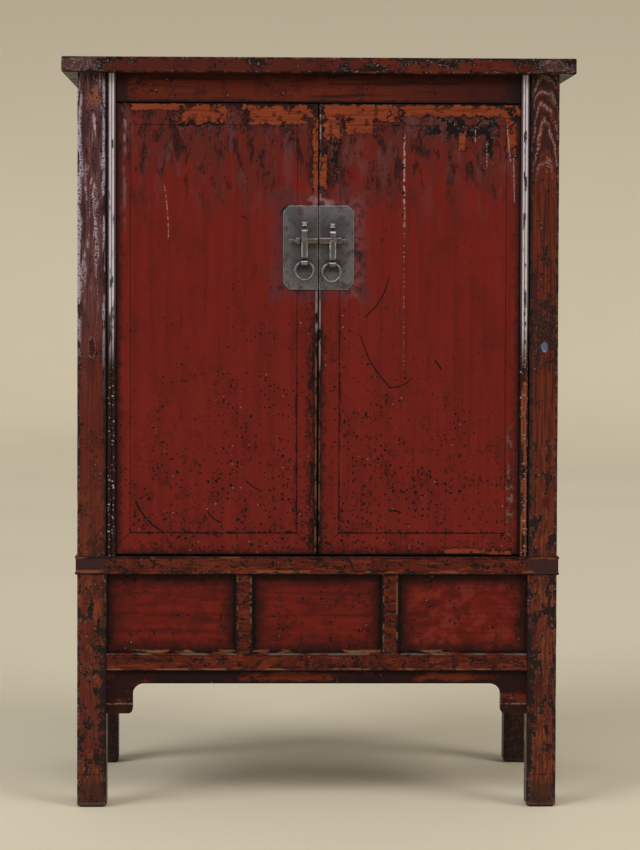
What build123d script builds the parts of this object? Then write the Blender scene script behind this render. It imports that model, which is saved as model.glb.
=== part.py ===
"""Kang cabinet with two wooden-pivot doors, in millimetres.

The cabinet stands on its four posts. X runs to the right, Y to the back and Z up; the origin is
on the floor, at the middle of the footprint. Doors and lock ironwork are on the front, at -Y.
"""
import os
from math import hypot

from build123d import *

# ---------------------------------------------------------------- driving dimensions
# carcass
cabinet_height = 1065.0
body_width = 683.0
body_depth = 410.0
post_width = 42.0
foot_rounding = 6.0
post_edge_bevel = 1.2

# top: boards tongued into end pieces that show their end grain at the front
top_thickness = 22.0
top_side_overhang = 21.5
top_front_overhang = 20.0
top_end_width = 58.0
top_rail_width = 60.0
top_panel_thickness = 10.0
top_edge_bevel = 1.2
top_batten_width = 34.0
top_batten_offset = 150.0
top_batten_inset = 2.0
top_tenon_length = 24.0
top_tenon_inset = 10.0
top_tenon_rise = 9.0
top_tenon_thickness = 7.0
top_tongue_length = 6.0
top_tongue_inset = 1.0
top_tongue_thickness = 4.0
post_tenon_width = 20.0
post_tenon_height = 7.0

# levels of the front, from the floor up
leg_clear_height = 195.0
lower_rail_height = 24.5
lower_panel_height = 113.0
waist_height = 26.5
lintel_height = 40.0

# rails
rail_depth = 28.0
rail_setback = 1.0
lintel_setback = 2.0
side_setback = 2.5
tenon_length = 18.0
tenon_thickness = 9.0
tenon_shoulder = 4.0
side_tenon_inset = 15.0
muntin_width = 25.0
muntin_tenon = 10.0

# waist moulding, housed in the posts and standing proud of them
waist_projection = 3.0
waist_housing = 6.0
waist_bead_radius = 2.0
waist_field_depth = 1.2

# thin beads round the lower panels
bead_radius = 1.5
bead_rise = 1.1

# panels
panel_thickness = 10.0
panel_groove = 6.0
lower_panel_setback = 9.0
side_panel_setback = 5.0
back_panel_setback = 8.0

# apron and its brackets
apron_height = 19.0
apron_thickness = 14.0
apron_setback = 8.0
bracket_drop = 62.0
bracket_width = 37.0
bracket_hollow_radius = 16.0
bracket_corner_radius = 7.0

# doors
door_gap_top = 2.0
door_gap_bottom = 2.5
door_seam = 2.0
door_thickness = 22.0
door_setback = 1.5
hinge_stile_width = 32.0
meeting_stile_width = 29.0
door_rail_height = 30.0
door_panel_thickness = 9.0
door_panel_gap = 0.6
door_tongue_length = 5.0
door_tongue_thickness = 4.0
door_tongue_inset = 3.0
door_groove_room = 1.0
door_tenon_length = 16.0
door_tenon_thickness = 7.0
door_tenon_inset = 8.0
door_tenon_shoulder = 6.0
batten_height = 26.0
batten_count = 3
batten_key_depth = 3.0
batten_key_flare = 2.0
batten_tenon = 8.0

# turned rod on the hinge stile: two reeds in front, a half round behind, a pivot at each end
rod_width = 11.4
rod_proud = 2.5
rod_gap = 1.0
reed_inset = 2.0
rod_swing_clearance = 0.4
rod_end_gap = 0.4
quirk_width = 2.0
quirk_depth = 2.0
pivot_radius = 3.0
pivot_length = 9.0
pivot_clearance = 0.06
pivot_hole_gap = 1.0

# inside
floor_thickness = 12.0
floor_rebate = 8.0
floor_front_rebate = 4.0
lid_width = 220.0
lid_gap = 0.5
finger_hole_radius = 13.0
finger_hole_inset = 42.0
shelf_height = 674.0
shelf_thickness = 14.0
shelf_front_gap = 3.0
shelf_gap = 0.5
cleat_height = 20.0
cleat_width = 14.0
compartment_board_thickness = 10.0
compartment_board_inset = 4.0

# lock ironwork
plate_width = 49.0
plate_height = 119.0
plate_bottom = 738.0
plate_thickness = 2.0
plate_corner_width = 8.6
plate_corner_height = 9.0
plate_edge_gap = 0.2
keeper_offset = 20.0
keeper_width = 9.2
keeper_strap = 2.6
keeper_base = 1.5
keeper_inset = 33.0
keeper_length = 42.0
keeper_gap_length = 28.0
right_keeper_drop = 2.5
knob_height = 8.6
knob_depth = 6.5
knob_neck = 3.0
knob_rounding = 1.6
bow_rounding = 4.0
groove_width = 3.6
groove_depth = 1.2
groove_length = 24.0
shank_width = 4.0
shank_thickness = 2.4
shank_tail = 11.0
bolt_inset = 17.0
bolt_radius = 4.0
bolt_clearance = 0.35
keeper_fit = 0.1
bolt_travel = 8.0
bolt_seam_gap = 0.8
bolt_knob_right = 33.5
bolt_tongue_spare = 0.2
bolt_knob_length = 6.5
bolt_knob_radius = 5.0
bolt_tail_length = 5.0
bolt_tail_radius = 1.8
sleeve_wall = 0.85
sleeve_mouth = 1.2
sleeve_length = 25.3
sleeve_collar_length = 6.0
sleeve_collar_rise = 0.9
sleeve_tip_length = 8.5
sleeve_tip_radius = 3.4
barrel_clearance = 0.3
ring_mean_radius = 13.0
ring_wire_radius = 2.0
ring_flat_count = 32
eye_wall = 1.7
eye_clearance = 0.35
eye_drop = 0.8

# how far a cutter reaches past the face that it cuts
cut_margin = 1.0
# corner cut that makes a square bar eight-sided, as a share of half its width
octagon_corner = 0.58

# ---------------------------------------------------------------- worked-out places
post_x = body_width / 2
post_y = body_depth / 2
post_inner_x = post_x - post_width
post_inner_y = post_y - post_width
top_x = post_x + top_side_overhang
top_y = post_y + top_front_overhang
top_under = cabinet_height - top_thickness
top_end_x = top_x - top_end_width
top_rail_y = top_y - top_rail_width
lower_rail_bottom = leg_clear_height
lower_rail_top = lower_rail_bottom + lower_rail_height
waist_bottom = lower_rail_top + lower_panel_height
waist_top = waist_bottom + waist_height
lintel_bottom = top_under - lintel_height
rail_front = -post_y + rail_setback
rail_back = rail_front + rail_depth
apron_bottom = lower_rail_bottom - apron_height
bracket_length = bracket_width + bracket_hollow_radius
bead_sunk = bead_radius - bead_rise
floor_bottom = waist_top - floor_thickness
floor_front = rail_back - floor_front_rebate
floor_back = -rail_back + floor_rebate
top_tenon_bottom = top_under + top_tenon_rise
muntin_tenon_near = rail_front + tenon_thickness
muntin_tenon_far = muntin_tenon_near + tenon_thickness
opening_width = (2 * post_inner_x - 2 * muntin_width) / 3
muntin_x = (opening_width + muntin_width) / 2
panel_openings = [
    (middle - opening_width / 2, middle + opening_width / 2)
    for middle in (-2 * muntin_x, 0.0, 2 * muntin_x)
]
side_rail_outer = post_x - side_setback
side_rail_inner = side_rail_outer - rail_depth
waist_front = -post_y - waist_projection
waist_strip_back = -post_y + waist_housing
waist_x = post_x + waist_projection
side_panel_outer = post_x - side_setback - side_panel_setback
side_panel_inner = side_panel_outer - panel_thickness
back_panel_back = post_y - rail_setback - back_panel_setback
back_panel_front = back_panel_back - panel_thickness

rod_radius = rod_width / 2
reed_radius = rod_width / 4
rod_reach = hypot(reed_radius, reed_inset) + reed_radius
axis_x = -(post_inner_x - rod_gap - rod_radius)
axis_y = -post_y - rod_proud + reed_inset + reed_radius
rod_bottom = waist_top + rod_end_gap
rod_top = top_under - rod_end_gap

leaf_front = -post_y + door_setback
leaf_back = leaf_front + door_thickness
leaf_bottom = waist_top + door_gap_bottom
leaf_top = lintel_bottom - door_gap_top
leaf_hinge_edge = axis_x - rod_radius
leaf_meeting_edge = -door_seam / 2
hinge_stile_edge = leaf_hinge_edge + hinge_stile_width
meeting_stile_edge = leaf_meeting_edge - meeting_stile_width
quirk_edge = axis_x + rod_radius + quirk_width
panel_bottom = leaf_bottom + door_rail_height
panel_top = leaf_top - door_rail_height

plate_front = leaf_front - plate_thickness
plate_top = plate_bottom + plate_height
keeper_top = plate_top - keeper_inset
bolt_height = keeper_top - bolt_inset
sleeve_radius = bolt_radius + bolt_clearance + sleeve_wall
barrel_radius = sleeve_radius + keeper_fit - barrel_clearance
tongue_length = bolt_travel + bolt_tongue_spare
bolt_y = plate_front - keeper_base - keeper_fit - sleeve_radius
keeper_inner_y = bolt_y - sleeve_radius - keeper_fit
keeper_front = keeper_inner_y - keeper_strap
eye_bore = (
    ring_mean_radius
    - (ring_mean_radius**2 - (keeper_width / 2) ** 2) ** 0.5
    + ring_wire_radius
    + eye_clearance
)
eye_radius = eye_bore + eye_wall
eye_y = plate_front - eye_radius
eye_z = keeper_top - keeper_length - eye_drop - eye_radius


# ---------------------------------------------------------------- helpers
def block(low, high):
    """A box between two opposite corners."""
    size = [high[i] - low[i] for i in range(3)]
    middle = [(high[i] + low[i]) / 2 for i in range(3)]
    return Pos(*middle) * Box(*size)


def upright(radius, x, y, bottom, top):
    """A cylinder along Z."""
    return Pos(x, y, (bottom + top) / 2) * Cylinder(radius, top - bottom)


def crossways(radius, left, right, y, z):
    """A cylinder along X."""
    return Pos((left + right) / 2, y, z) * Rot(0, 90, 0) * Cylinder(radius, right - left)


def outline_face(points, rounded=()):
    """A flat face from corner points; rounded lists (corner number, radius)."""
    face = Face(Wire(Polyline(*points, close=True)))
    for number, radius in rounded:
        spot = Vector(*points[number])
        corner = min(face.vertices(), key=lambda vertex: (Vector(vertex) - spot).length)
        face = face.fillet_2d(radius, [corner])
    return face


def front_outline(points, near, far, rounded=()):
    """A prism whose outline is drawn in the X-Z plane, from y = near back to y = far."""
    plane = Plane((0, far, 0), x_dir=(1, 0, 0), z_dir=(0, -1, 0))
    return extrude(plane * outline_face(points, rounded), far - near, dir=plane.z_dir)


def side_outline(points, left, right, rounded=()):
    """A prism whose outline is drawn in the Y-Z plane, from x = left to x = right."""
    plane = Plane((left, 0, 0), x_dir=(0, 1, 0), z_dir=(1, 0, 0))
    return extrude(plane * outline_face(points, rounded), right - left, dir=plane.z_dir)


def plan_outline(points, bottom, top):
    """A prism whose outline is drawn in the X-Y plane."""
    return extrude(Pos(0, 0, bottom) * outline_face(points), top - bottom, dir=(0, 0, 1))


def other_side(shape):
    """The same piece on the other side of the cabinet."""
    return shape.mirror(Plane.YZ)


def other_end(shape):
    """The same piece at the back instead of the front."""
    return shape.mirror(Plane.XZ)


def less(shape, *cutters):
    """The shape with every cutter taken out of it."""
    for cutter in cutters:
        shape = shape - cutter
    return shape


def bevelled(shape, width, chosen):
    """Bevels the edges whose middle point passes the test."""
    return chamfer([edge for edge in shape.edges() if chosen(edge @ 0.5)], width)


def near_to(value, target):
    """True when two places are the same."""
    return abs(value - target) < 0.01


def save(name, *solids):
    """Writes one node; like pieces in one node stay separate solids."""
    shape = solids[0] if len(solids) == 1 else Compound(children=list(solids))
    export_step(shape, f"parts/{name}.step")


# ---------------------------------------------------------------- rails
def front_tenons(bottom, top, middle):
    """One bar that makes the tenons at both ends of a front or back rail."""
    return block(
        (-post_inner_x - tenon_length, middle - tenon_thickness / 2, bottom + tenon_shoulder),
        (post_inner_x + tenon_length, middle + tenon_thickness / 2, top - tenon_shoulder),
    )


def side_tenons(bottom, top):
    """One bar that makes the tenons at both ends of a left side rail."""
    middle = -post_x + side_tenon_inset
    return block(
        (middle - tenon_thickness / 2, -post_inner_y - tenon_length, bottom + tenon_shoulder),
        (middle + tenon_thickness / 2, post_inner_y + tenon_length, top - tenon_shoulder),
    )


def front_rail(bottom, top, near, far):
    """A rail between the two front posts."""
    rail = block((-post_inner_x, near, bottom), (post_inner_x, far, top))
    return rail + front_tenons(bottom, top, (near + far) / 2)


def side_rail(bottom, top):
    """A rail between the two left posts."""
    rail = block((-side_rail_outer, -post_inner_y, bottom), (-side_rail_inner, post_inner_y, top))
    return rail + side_tenons(bottom, top)


def front_bead(start, end, face_y):
    """A thin half-round bead between two (x, z) points, standing proud of a front face."""
    run = hypot(end[0] - start[0], end[1] - start[1])
    turn = Rot(0, 90, 0) if near_to(start[1], end[1]) else Rot(0, 0, 0)
    middle = Pos((start[0] + end[0]) / 2, face_y + bead_sunk, (start[1] + end[1]) / 2)
    return middle * turn * Cylinder(bead_radius, run)


def waist_moulding(length):
    """The waist moulding along X: a flat field between two half-round beads."""
    field_front = waist_front + waist_field_depth
    bead_y = waist_front + waist_bead_radius
    field = block((-length / 2, field_front, waist_bottom), (length / 2, waist_strip_back, waist_top))
    low_bead = waist_bottom + waist_bead_radius
    high_bead = waist_top - waist_bead_radius
    edges = block((-length / 2, field_front, waist_bottom), (length / 2, bead_y, low_bead))
    edges += block((-length / 2, field_front, high_bead), (length / 2, bead_y, waist_top))
    beads = crossways(waist_bead_radius, -length / 2, length / 2, bead_y, low_bead)
    beads += crossways(waist_bead_radius, -length / 2, length / 2, bead_y, high_bead)
    return field - edges + beads


def floor_rebate_cut():
    """The ledge for the floor boards, cut round the inside of the waist rails."""
    return block(
        (-side_rail_inner - floor_rebate, floor_front, floor_bottom),
        (side_rail_inner + floor_rebate, floor_back, waist_top + cut_margin),
    )


def pivot_hole(bottom, top):
    """The socket of the left door's pivot."""
    return upright(pivot_radius + pivot_clearance, axis_x, axis_y, bottom, top)


def front_waist_rail():
    """Front waist rail: the moulding mitred round the posts and the rail between them."""
    inner_x = post_x - waist_housing
    mitred = plan_outline(
        [
            (-waist_x, waist_front),
            (waist_x, waist_front),
            (inner_x, waist_strip_back),
            (-inner_x, waist_strip_back),
        ],
        waist_bottom,
        waist_top,
    )
    moulding = waist_moulding(2 * waist_x) & mitred
    rail = front_rail(waist_bottom, waist_top, waist_strip_back, rail_back)
    hole = pivot_hole(waist_top - pivot_length - pivot_hole_gap, waist_top)
    return less(moulding + rail, floor_rebate_cut(), hole, other_side(hole))


def left_waist_rail():
    """Left waist rail: the moulding housed in both posts and the rail between them."""
    inner_x = post_x - waist_housing
    mitred = plan_outline(
        [
            (-waist_x, waist_front),
            (-inner_x, waist_strip_back),
            (-inner_x, post_y),
            (-waist_x, post_y),
        ],
        waist_bottom,
        waist_top,
    )
    moulding = Rot(0, 0, -90) * waist_moulding(2 * (post_y + waist_projection))
    moulding = Pos(post_y - post_x, 0, 0) * moulding
    rail = block((-inner_x, -post_inner_y, waist_bottom), (-side_rail_inner, post_inner_y, waist_top))
    rail += side_tenons(waist_bottom, waist_top)
    return (moulding & mitred) + rail - floor_rebate_cut()


def back_rail(bottom, top):
    """A rail between the two back posts."""
    return other_end(front_rail(bottom, top, rail_front, rail_back))


def lower_front_rail():
    """Rail under the lower panels, with a bead round each opening and along its lower edge."""
    rail = front_rail(lower_rail_bottom, lower_rail_top, rail_front, rail_back)
    under = lower_rail_bottom + bead_radius
    rail += front_bead((-post_inner_x, under), (post_inner_x, under), rail_front)
    for left, right in panel_openings:
        start = max(left - 2 * bead_radius, -post_inner_x)
        end = min(right + 2 * bead_radius, post_inner_x)
        over = lower_rail_top - bead_radius
        rail += front_bead((start, over), (end, over), rail_front)
    return rail


def muntin(middle):
    """An upright between two lower panels, beaded on both edges."""
    left = middle - muntin_width / 2
    right = middle + muntin_width / 2
    body = block((left, rail_front, lower_rail_top), (right, rail_back, waist_bottom))
    tenon = block(
        (middle - tenon_thickness / 2, muntin_tenon_near, lower_rail_top - muntin_tenon),
        (middle + tenon_thickness / 2, muntin_tenon_far, waist_bottom + muntin_tenon),
    )
    for x in (left + bead_radius, right - bead_radius):
        body += front_bead((x, lower_rail_top), (x, waist_bottom), rail_front)
    return body + tenon


def lintel():
    """Rail over the doors, hollowed at each end round the doors' rods."""
    near = -post_y + lintel_setback
    rail = front_rail(lintel_bottom, top_under, near, near + rail_depth)
    hollow = upright(rod_reach + rod_swing_clearance, axis_x, axis_y, lintel_bottom, top_under)
    return less(rail, hollow, other_side(hollow))


# ---------------------------------------------------------------- panels and boards
def lower_front_panel(left, right):
    """A panel of the lower front, let into grooves all round."""
    near = rail_front + lower_panel_setback
    return block(
        (left - panel_groove, near, lower_rail_top - panel_groove),
        (right + panel_groove, near + panel_thickness, waist_bottom + panel_groove),
    )


def side_panel(bottom, top):
    """A left side panel, let into grooves all round."""
    return block(
        (-side_panel_outer, -post_inner_y - panel_groove, bottom - panel_groove),
        (-side_panel_inner, post_inner_y + panel_groove, top + panel_groove),
    )


def back_panel(bottom, top):
    """A back panel, let into grooves all round."""
    return block(
        (-post_inner_x - panel_groove, back_panel_front, bottom - panel_groove),
        (post_inner_x + panel_groove, back_panel_back, top + panel_groove),
    )


def compartment_board():
    """Bottom of the hidden compartment, let into the lower rails and cut round the posts."""
    bottom = lower_rail_bottom + compartment_board_inset
    x = side_rail_inner + panel_groove
    y = -rail_back + panel_groove
    return block((-x, -y, bottom), (x, y, bottom + compartment_board_thickness))


def post_corners(gap):
    """The four posts as plain blocks, grown by a gap, to cut boards round them."""
    corner = block(
        (-post_x, -post_y, 0), (-post_inner_x + gap, -post_inner_y + gap, top_under)
    )
    pair = [corner, other_side(corner)]
    return pair + [other_end(piece) for piece in pair]


def floor_board():
    """The fixed left half of the cabinet's floor, resting on the waist rails."""
    board = block(
        (-side_rail_inner - floor_rebate, floor_front, floor_bottom),
        (-lid_width / 2 - lid_gap, floor_back, waist_top),
    )
    return less(board, *post_corners(0))


def floor_lid():
    """The lift-out board over the compartment, clear of the closed doors, with a finger hole."""
    front = floor_front + lid_gap
    lid = block((-lid_width / 2, front, floor_bottom), (lid_width / 2, floor_back - lid_gap, waist_top))
    hole_y = front + finger_hole_inset
    return lid - upright(finger_hole_radius, 0, hole_y, floor_bottom, waist_top)


def shelf():
    """The shelf, notched round the back posts."""
    x = side_panel_inner - shelf_gap
    board = block(
        (-x, -post_inner_y + shelf_front_gap, shelf_height),
        (x, back_panel_front - shelf_gap, shelf_height + shelf_thickness),
    )
    return less(board, *post_corners(shelf_gap))


def shelf_cleat():
    """The strip under the left end of the shelf."""
    return block(
        (-side_panel_inner, -post_inner_y, shelf_height - cleat_height),
        (-side_panel_inner + cleat_width, post_inner_y, shelf_height),
    )


# ---------------------------------------------------------------- aprons
def bracket(length, near, far):
    """An apron bracket with its post face at x = 0, as long as it is at the rail."""
    under = lower_rail_bottom - bracket_drop
    return front_outline(
        [
            (0, lower_rail_bottom),
            (0, under),
            (bracket_width, under),
            (bracket_width, apron_bottom),
            (length, apron_bottom),
            (length, lower_rail_bottom),
        ],
        near,
        far,
        rounded=[(2, bracket_corner_radius), (3, bracket_hollow_radius)],
    )


def front_bracket():
    """The left bracket of the front apron."""
    near = -post_y + apron_setback
    return Pos(-post_inner_x, 0, 0) * bracket(bracket_length, near, near + apron_thickness)


def side_bracket():
    """The front bracket of the left side apron."""
    near = -post_x + apron_setback
    turned = Rot(0, 0, -90) * bracket(bracket_length, near, near + apron_thickness)
    return Pos(0, -post_inner_y, 0) * turned.mirror(Plane.XZ)


def front_apron():
    """The straight part of the front apron, between its brackets."""
    x = post_inner_x - bracket_length
    near = -post_y + apron_setback
    return block((-x, near, apron_bottom), (x, near + apron_thickness, lower_rail_bottom))


def side_apron():
    """The straight part of the left side apron, between its brackets."""
    y = post_inner_y - bracket_length
    near = -post_x + apron_setback
    return block((near, -y, apron_bottom), (near + apron_thickness, y, lower_rail_bottom))


# ---------------------------------------------------------------- top
def top_rail():
    """The front board of the top, tenoned into both end pieces."""
    rail = block((-top_end_x, -top_y, top_under), (top_end_x, -top_rail_y, cabinet_height))
    rail = bevelled(rail, top_edge_bevel, lambda spot: near_to(spot.Y, -top_y) and near_to(spot.X, 0))
    tenon = block(
        (-top_end_x - top_tenon_length, -top_y + top_tenon_inset, top_tenon_bottom),
        (
            top_end_x + top_tenon_length,
            -top_rail_y - top_tenon_inset,
            top_tenon_bottom + top_tenon_thickness,
        ),
    )
    return rail + tenon


def top_panel():
    """The loose panel in the middle of the top, tongued on all four sides."""
    bottom = cabinet_height - top_panel_thickness
    field = block((-top_end_x, -top_rail_y, bottom), (top_end_x, top_rail_y, cabinet_height))
    reach = top_tongue_length
    tongue = block(
        (-top_end_x - reach, -top_rail_y - reach, bottom + top_tongue_inset),
        (
            top_end_x + reach,
            top_rail_y + reach,
            bottom + top_tongue_inset + top_tongue_thickness,
        ),
    )
    return field + tongue


def top_batten(middle):
    """A batten under the top panel, tenoned into the front and back boards."""
    top = cabinet_height - top_panel_thickness
    x = top_batten_width / 2
    bottom = top_under + top_batten_inset
    bar = block((middle - x, -top_rail_y, bottom), (middle + x, top_rail_y, top))
    tenon = block(
        (middle - x / 2, -top_rail_y - muntin_tenon, bottom + top_batten_inset),
        (middle + x / 2, top_rail_y + muntin_tenon, top - top_batten_inset),
    )
    return bar + tenon


def top_end(*cutters):
    """The left end piece of the top, running from front to back."""
    piece = block((-top_x, -top_y, top_under), (-top_end_x, top_y, cabinet_height))
    piece = bevelled(piece, top_edge_bevel, lambda spot: near_to(spot.X, -top_x)
                     or near_to(abs(spot.Y), top_y) and not near_to(spot.X, -top_end_x))
    return less(piece, *cutters)


# ---------------------------------------------------------------- posts
def post_blank():
    """The left front post with its foot rounded and a stub tenon for the top."""
    blank = block((-post_x, -post_y, 0), (-post_inner_x, -post_inner_y, top_under))
    blank = bevelled(blank, post_edge_bevel, lambda spot: near_to(spot.Z, top_under / 2))
    foot = [(1, foot_rounding), (2, foot_rounding)]
    across = [(-post_x, top_under), (-post_x, 0), (-post_inner_x, 0), (-post_inner_x, top_under)]
    along = [(-post_y, top_under), (-post_y, 0), (-post_inner_y, 0), (-post_inner_y, top_under)]
    blank = blank & front_outline(across, -post_y, -post_inner_y, foot)
    blank = blank & side_outline(along, -post_x, -post_inner_x, foot)
    x = -(post_x + post_inner_x) / 2
    y = -(post_y + post_inner_y) / 2
    half = post_tenon_width / 2
    stub = block((x - half, y - half, top_under), (x + half, y + half, top_under + post_tenon_height))
    return blank + stub


def front_post(*cutters):
    """The left front post, with a bead down its inner edge below the waist."""
    x = -post_inner_x - bead_radius
    bead = front_bead((x, foot_rounding), (x, waist_bottom), -post_y)
    return less(post_blank() + bead, *cutters)


# ---------------------------------------------------------------- doors (the left one)
def rod(bottom, top):
    """The rod of the hinge stile: two reeds side by side in front and a half round behind."""
    back = upright(rod_radius, axis_x, axis_y, bottom, top)
    front_half = block(
        (axis_x - rod_radius, axis_y - rod_radius, bottom), (axis_x + rod_radius, axis_y, top)
    )
    core = block((axis_x - rod_radius, axis_y - reed_inset, bottom), (axis_x + rod_radius, axis_y, top))
    reeds = [
        upright(reed_radius, axis_x + side * reed_radius, axis_y - reed_inset, bottom, top)
        for side in (-1, 1)
    ]
    return back - front_half + core + reeds[0] + reeds[1]


def mitre_height(x):
    """How far above the leaf's lower edge the hinge-side mitre stands at x."""
    return door_rail_height * (x - leaf_hinge_edge) / hinge_stile_width


def hinge_stile():
    """The stile that the door turns on, with its rod and pivots."""
    rise = mitre_height(quirk_edge)
    core = block(
        (leaf_hinge_edge, leaf_front + quirk_depth, leaf_bottom), (quirk_edge, leaf_back, leaf_top)
    )
    flat = front_outline(
        [
            (quirk_edge, leaf_bottom + rise),
            (hinge_stile_edge, panel_bottom),
            (hinge_stile_edge, panel_top),
            (quirk_edge, leaf_top - rise),
        ],
        leaf_front,
        leaf_back,
    )
    pivots = upright(pivot_radius, axis_x, axis_y, rod_bottom - pivot_length, rod_top + pivot_length)
    return core + flat + rod(rod_bottom, rod_top) + pivots


def meeting_stile():
    """The stile at the seam, mitred at both ends."""
    return front_outline(
        [
            (leaf_meeting_edge, leaf_bottom),
            (leaf_meeting_edge, leaf_top),
            (meeting_stile_edge, panel_top),
            (meeting_stile_edge, panel_bottom),
        ],
        leaf_front,
        leaf_back,
    )


def bottom_door_rail():
    """The lower rail of the door, mitred at both ends, with a tenon into each stile."""
    body = front_outline(
        [
            (quirk_edge, leaf_bottom),
            (leaf_meeting_edge, leaf_bottom),
            (meeting_stile_edge, panel_bottom),
            (hinge_stile_edge, panel_bottom),
            (quirk_edge, leaf_bottom + mitre_height(quirk_edge)),
        ],
        leaf_front,
        leaf_back,
    )
    near = leaf_front + door_tenon_inset
    tenons = block(
        (hinge_stile_edge - door_tenon_length, near, leaf_bottom + door_tenon_shoulder),
        (
            meeting_stile_edge + door_tenon_length,
            near + door_tenon_thickness,
            panel_bottom - door_tenon_shoulder,
        ),
    )
    return body + tenons


def top_door_rail():
    """The upper rail of the door: the lower one turned over."""
    middle = (leaf_bottom + leaf_top) / 2
    return bottom_door_rail().mirror(Plane((0, 0, middle), z_dir=(0, 0, 1)))


def door_tongue(reach):
    """The tongue round the door panel; with a longer reach it is the groove."""
    near = leaf_front + door_tongue_inset
    return block(
        (hinge_stile_edge - reach, near, panel_bottom - reach),
        (meeting_stile_edge + reach, near + door_tongue_thickness, panel_top + reach),
    )


def door_panel():
    """The door's flush panel, a hair smaller than its frame, with a tongue all round."""
    field = block(
        (hinge_stile_edge + door_panel_gap, leaf_front, panel_bottom + door_panel_gap),
        (
            meeting_stile_edge - door_panel_gap,
            leaf_front + door_panel_thickness,
            panel_top - door_panel_gap,
        ),
    )
    return field + door_tongue(door_tongue_length)


def door_batten(number):
    """A batten across the back of the panel: dovetailed into it and tenoned to the stiles."""
    pitch = (panel_top - panel_bottom) / batten_count
    z = panel_bottom + (number + 0.5) * pitch
    half = batten_height / 2
    near = leaf_front + door_panel_thickness
    bar = block((hinge_stile_edge, near, z - half), (meeting_stile_edge, leaf_back, z + half))
    tenon_near = near + door_tongue_inset
    tenon = block(
        (hinge_stile_edge - batten_tenon, tenon_near, z - half / 2),
        (meeting_stile_edge + batten_tenon, leaf_back - door_tongue_inset, z + half / 2),
    )
    narrow = half - 2 * batten_key_flare
    wide = half - batten_key_flare
    key = side_outline(
        [
            (near, z - narrow),
            (near - batten_key_depth, z - wide),
            (near - batten_key_depth, z + wide),
            (near, z + narrow),
        ],
        hinge_stile_edge + door_panel_gap,
        meeting_stile_edge - door_panel_gap,
    )
    return bar + tenon + key


def door_pieces(shanks):
    """The wooden pieces of the left door, cut where they meet and for the lock's shanks."""
    top = top_door_rail()
    bottom = bottom_door_rail()
    groove = door_tongue(door_tongue_length + door_groove_room)
    battens = [door_batten(number) for number in range(batten_count)]
    return {
        "hinge_stile": less(hinge_stile(), top, bottom, groove, *battens),
        "meeting_stile": less(meeting_stile(), top, bottom, groove, *battens, *shanks),
        "top_rail": top - groove,
        "bottom_rail": bottom - groove,
        "panel": less(door_panel(), *battens),
        "battens": battens,
    }


# ---------------------------------------------------------------- lock ironwork (the left side)
def shank(z):
    """A flat shank through plate and stile, bent down against the back of the stile."""
    x = -keeper_offset
    stem = block(
        (x - shank_width / 2, plate_front, z - shank_thickness / 2),
        (x + shank_width / 2, leaf_back + shank_thickness, z + shank_thickness / 2),
    )
    tail = block(
        (x - shank_width / 2, leaf_back, z - shank_tail),
        (x + shank_width / 2, leaf_back + shank_thickness, z + shank_thickness / 2),
    )
    return stem + tail


def keeper_shanks(drop):
    """Both shanks of a keeper: behind its knob and behind its eye."""
    return [shank(keeper_top + knob_neck + knob_height / 2 - drop), shank(eye_z - drop)]


def lock_plate(shanks):
    """Half of the lock plate, with its two outer corners canted."""
    inner = leaf_meeting_edge - plate_edge_gap
    outer = inner - plate_width
    top = plate_top
    plate = front_outline(
        [
            (inner, plate_bottom),
            (inner, top),
            (outer + plate_corner_width, top),
            (outer, top - plate_corner_height),
            (outer, plate_bottom + plate_corner_height),
            (outer + plate_corner_width, plate_bottom),
        ],
        plate_front,
        leaf_front,
    )
    return less(plate, *shanks)


def keeper(drop):
    """A bowed strap on the plate, with a knob above, an eye for the ring below, and shanks."""
    left = -keeper_offset - keeper_width / 2
    right = -keeper_offset + keeper_width / 2
    top = keeper_top - drop
    bottom = top - keeper_length
    eye = eye_z - drop
    knob_top = top + knob_neck + knob_height
    base = block((left, plate_front - keeper_base, eye), (right, plate_front, knob_top))
    knob = side_outline(
        [
            (plate_front, top + knob_neck),
            (plate_front - knob_depth, top + knob_neck),
            (plate_front - knob_depth, knob_top),
            (plate_front, knob_top),
        ],
        left,
        right,
        rounded=[(1, knob_rounding), (2, knob_rounding)],
    )
    bow = side_outline(
        [
            (plate_front, top),
            (keeper_front, top),
            (keeper_front, bottom),
            (plate_front, bottom),
        ],
        left,
        right,
        rounded=[(1, bow_rounding), (2, bow_rounding)],
    )
    opening = side_outline(
        [
            (plate_front - keeper_base, bolt_height + keeper_gap_length / 2),
            (keeper_inner_y, bolt_height + keeper_gap_length / 2),
            (keeper_inner_y, bolt_height - keeper_gap_length / 2),
            (plate_front - keeper_base, bolt_height - keeper_gap_length / 2),
        ],
        left - cut_margin,
        right + cut_margin,
    )
    flute = block(
        (-keeper_offset - groove_width / 2, keeper_front - cut_margin, bottom + keeper_strap),
        (
            -keeper_offset + groove_width / 2,
            keeper_front + groove_depth,
            bottom + keeper_strap + groove_length,
        ),
    )
    eye_ring = crossways(eye_radius, left, right, eye_y, eye)
    bore = crossways(eye_bore, left - cut_margin, right + cut_margin, eye_y, eye)
    body = base + knob + bow + eye_ring
    body = less(body, opening, flute, bore)
    for piece in keeper_shanks(drop):
        body += piece
    return body


def ring(drop):
    """The pull ring: an eight-sided bar bent round in short flats, hanging in the keeper's eye."""
    outer = RegularPolygon(ring_mean_radius + ring_wire_radius, ring_flat_count)
    inner = RegularPolygon(ring_mean_radius - ring_wire_radius, ring_flat_count)
    hoop = extrude(outer - inner, ring_wire_radius, both=True)
    rims = [edge for edge in hoop.edges() if near_to(abs((edge @ 0.5).Z), ring_wire_radius)]
    hoop = chamfer(rims, ring_wire_radius * octagon_corner)
    return Pos(-keeper_offset, eye_y, eye_z - drop - ring_mean_radius) * Rot(90, 0, 0) * hoop


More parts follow.
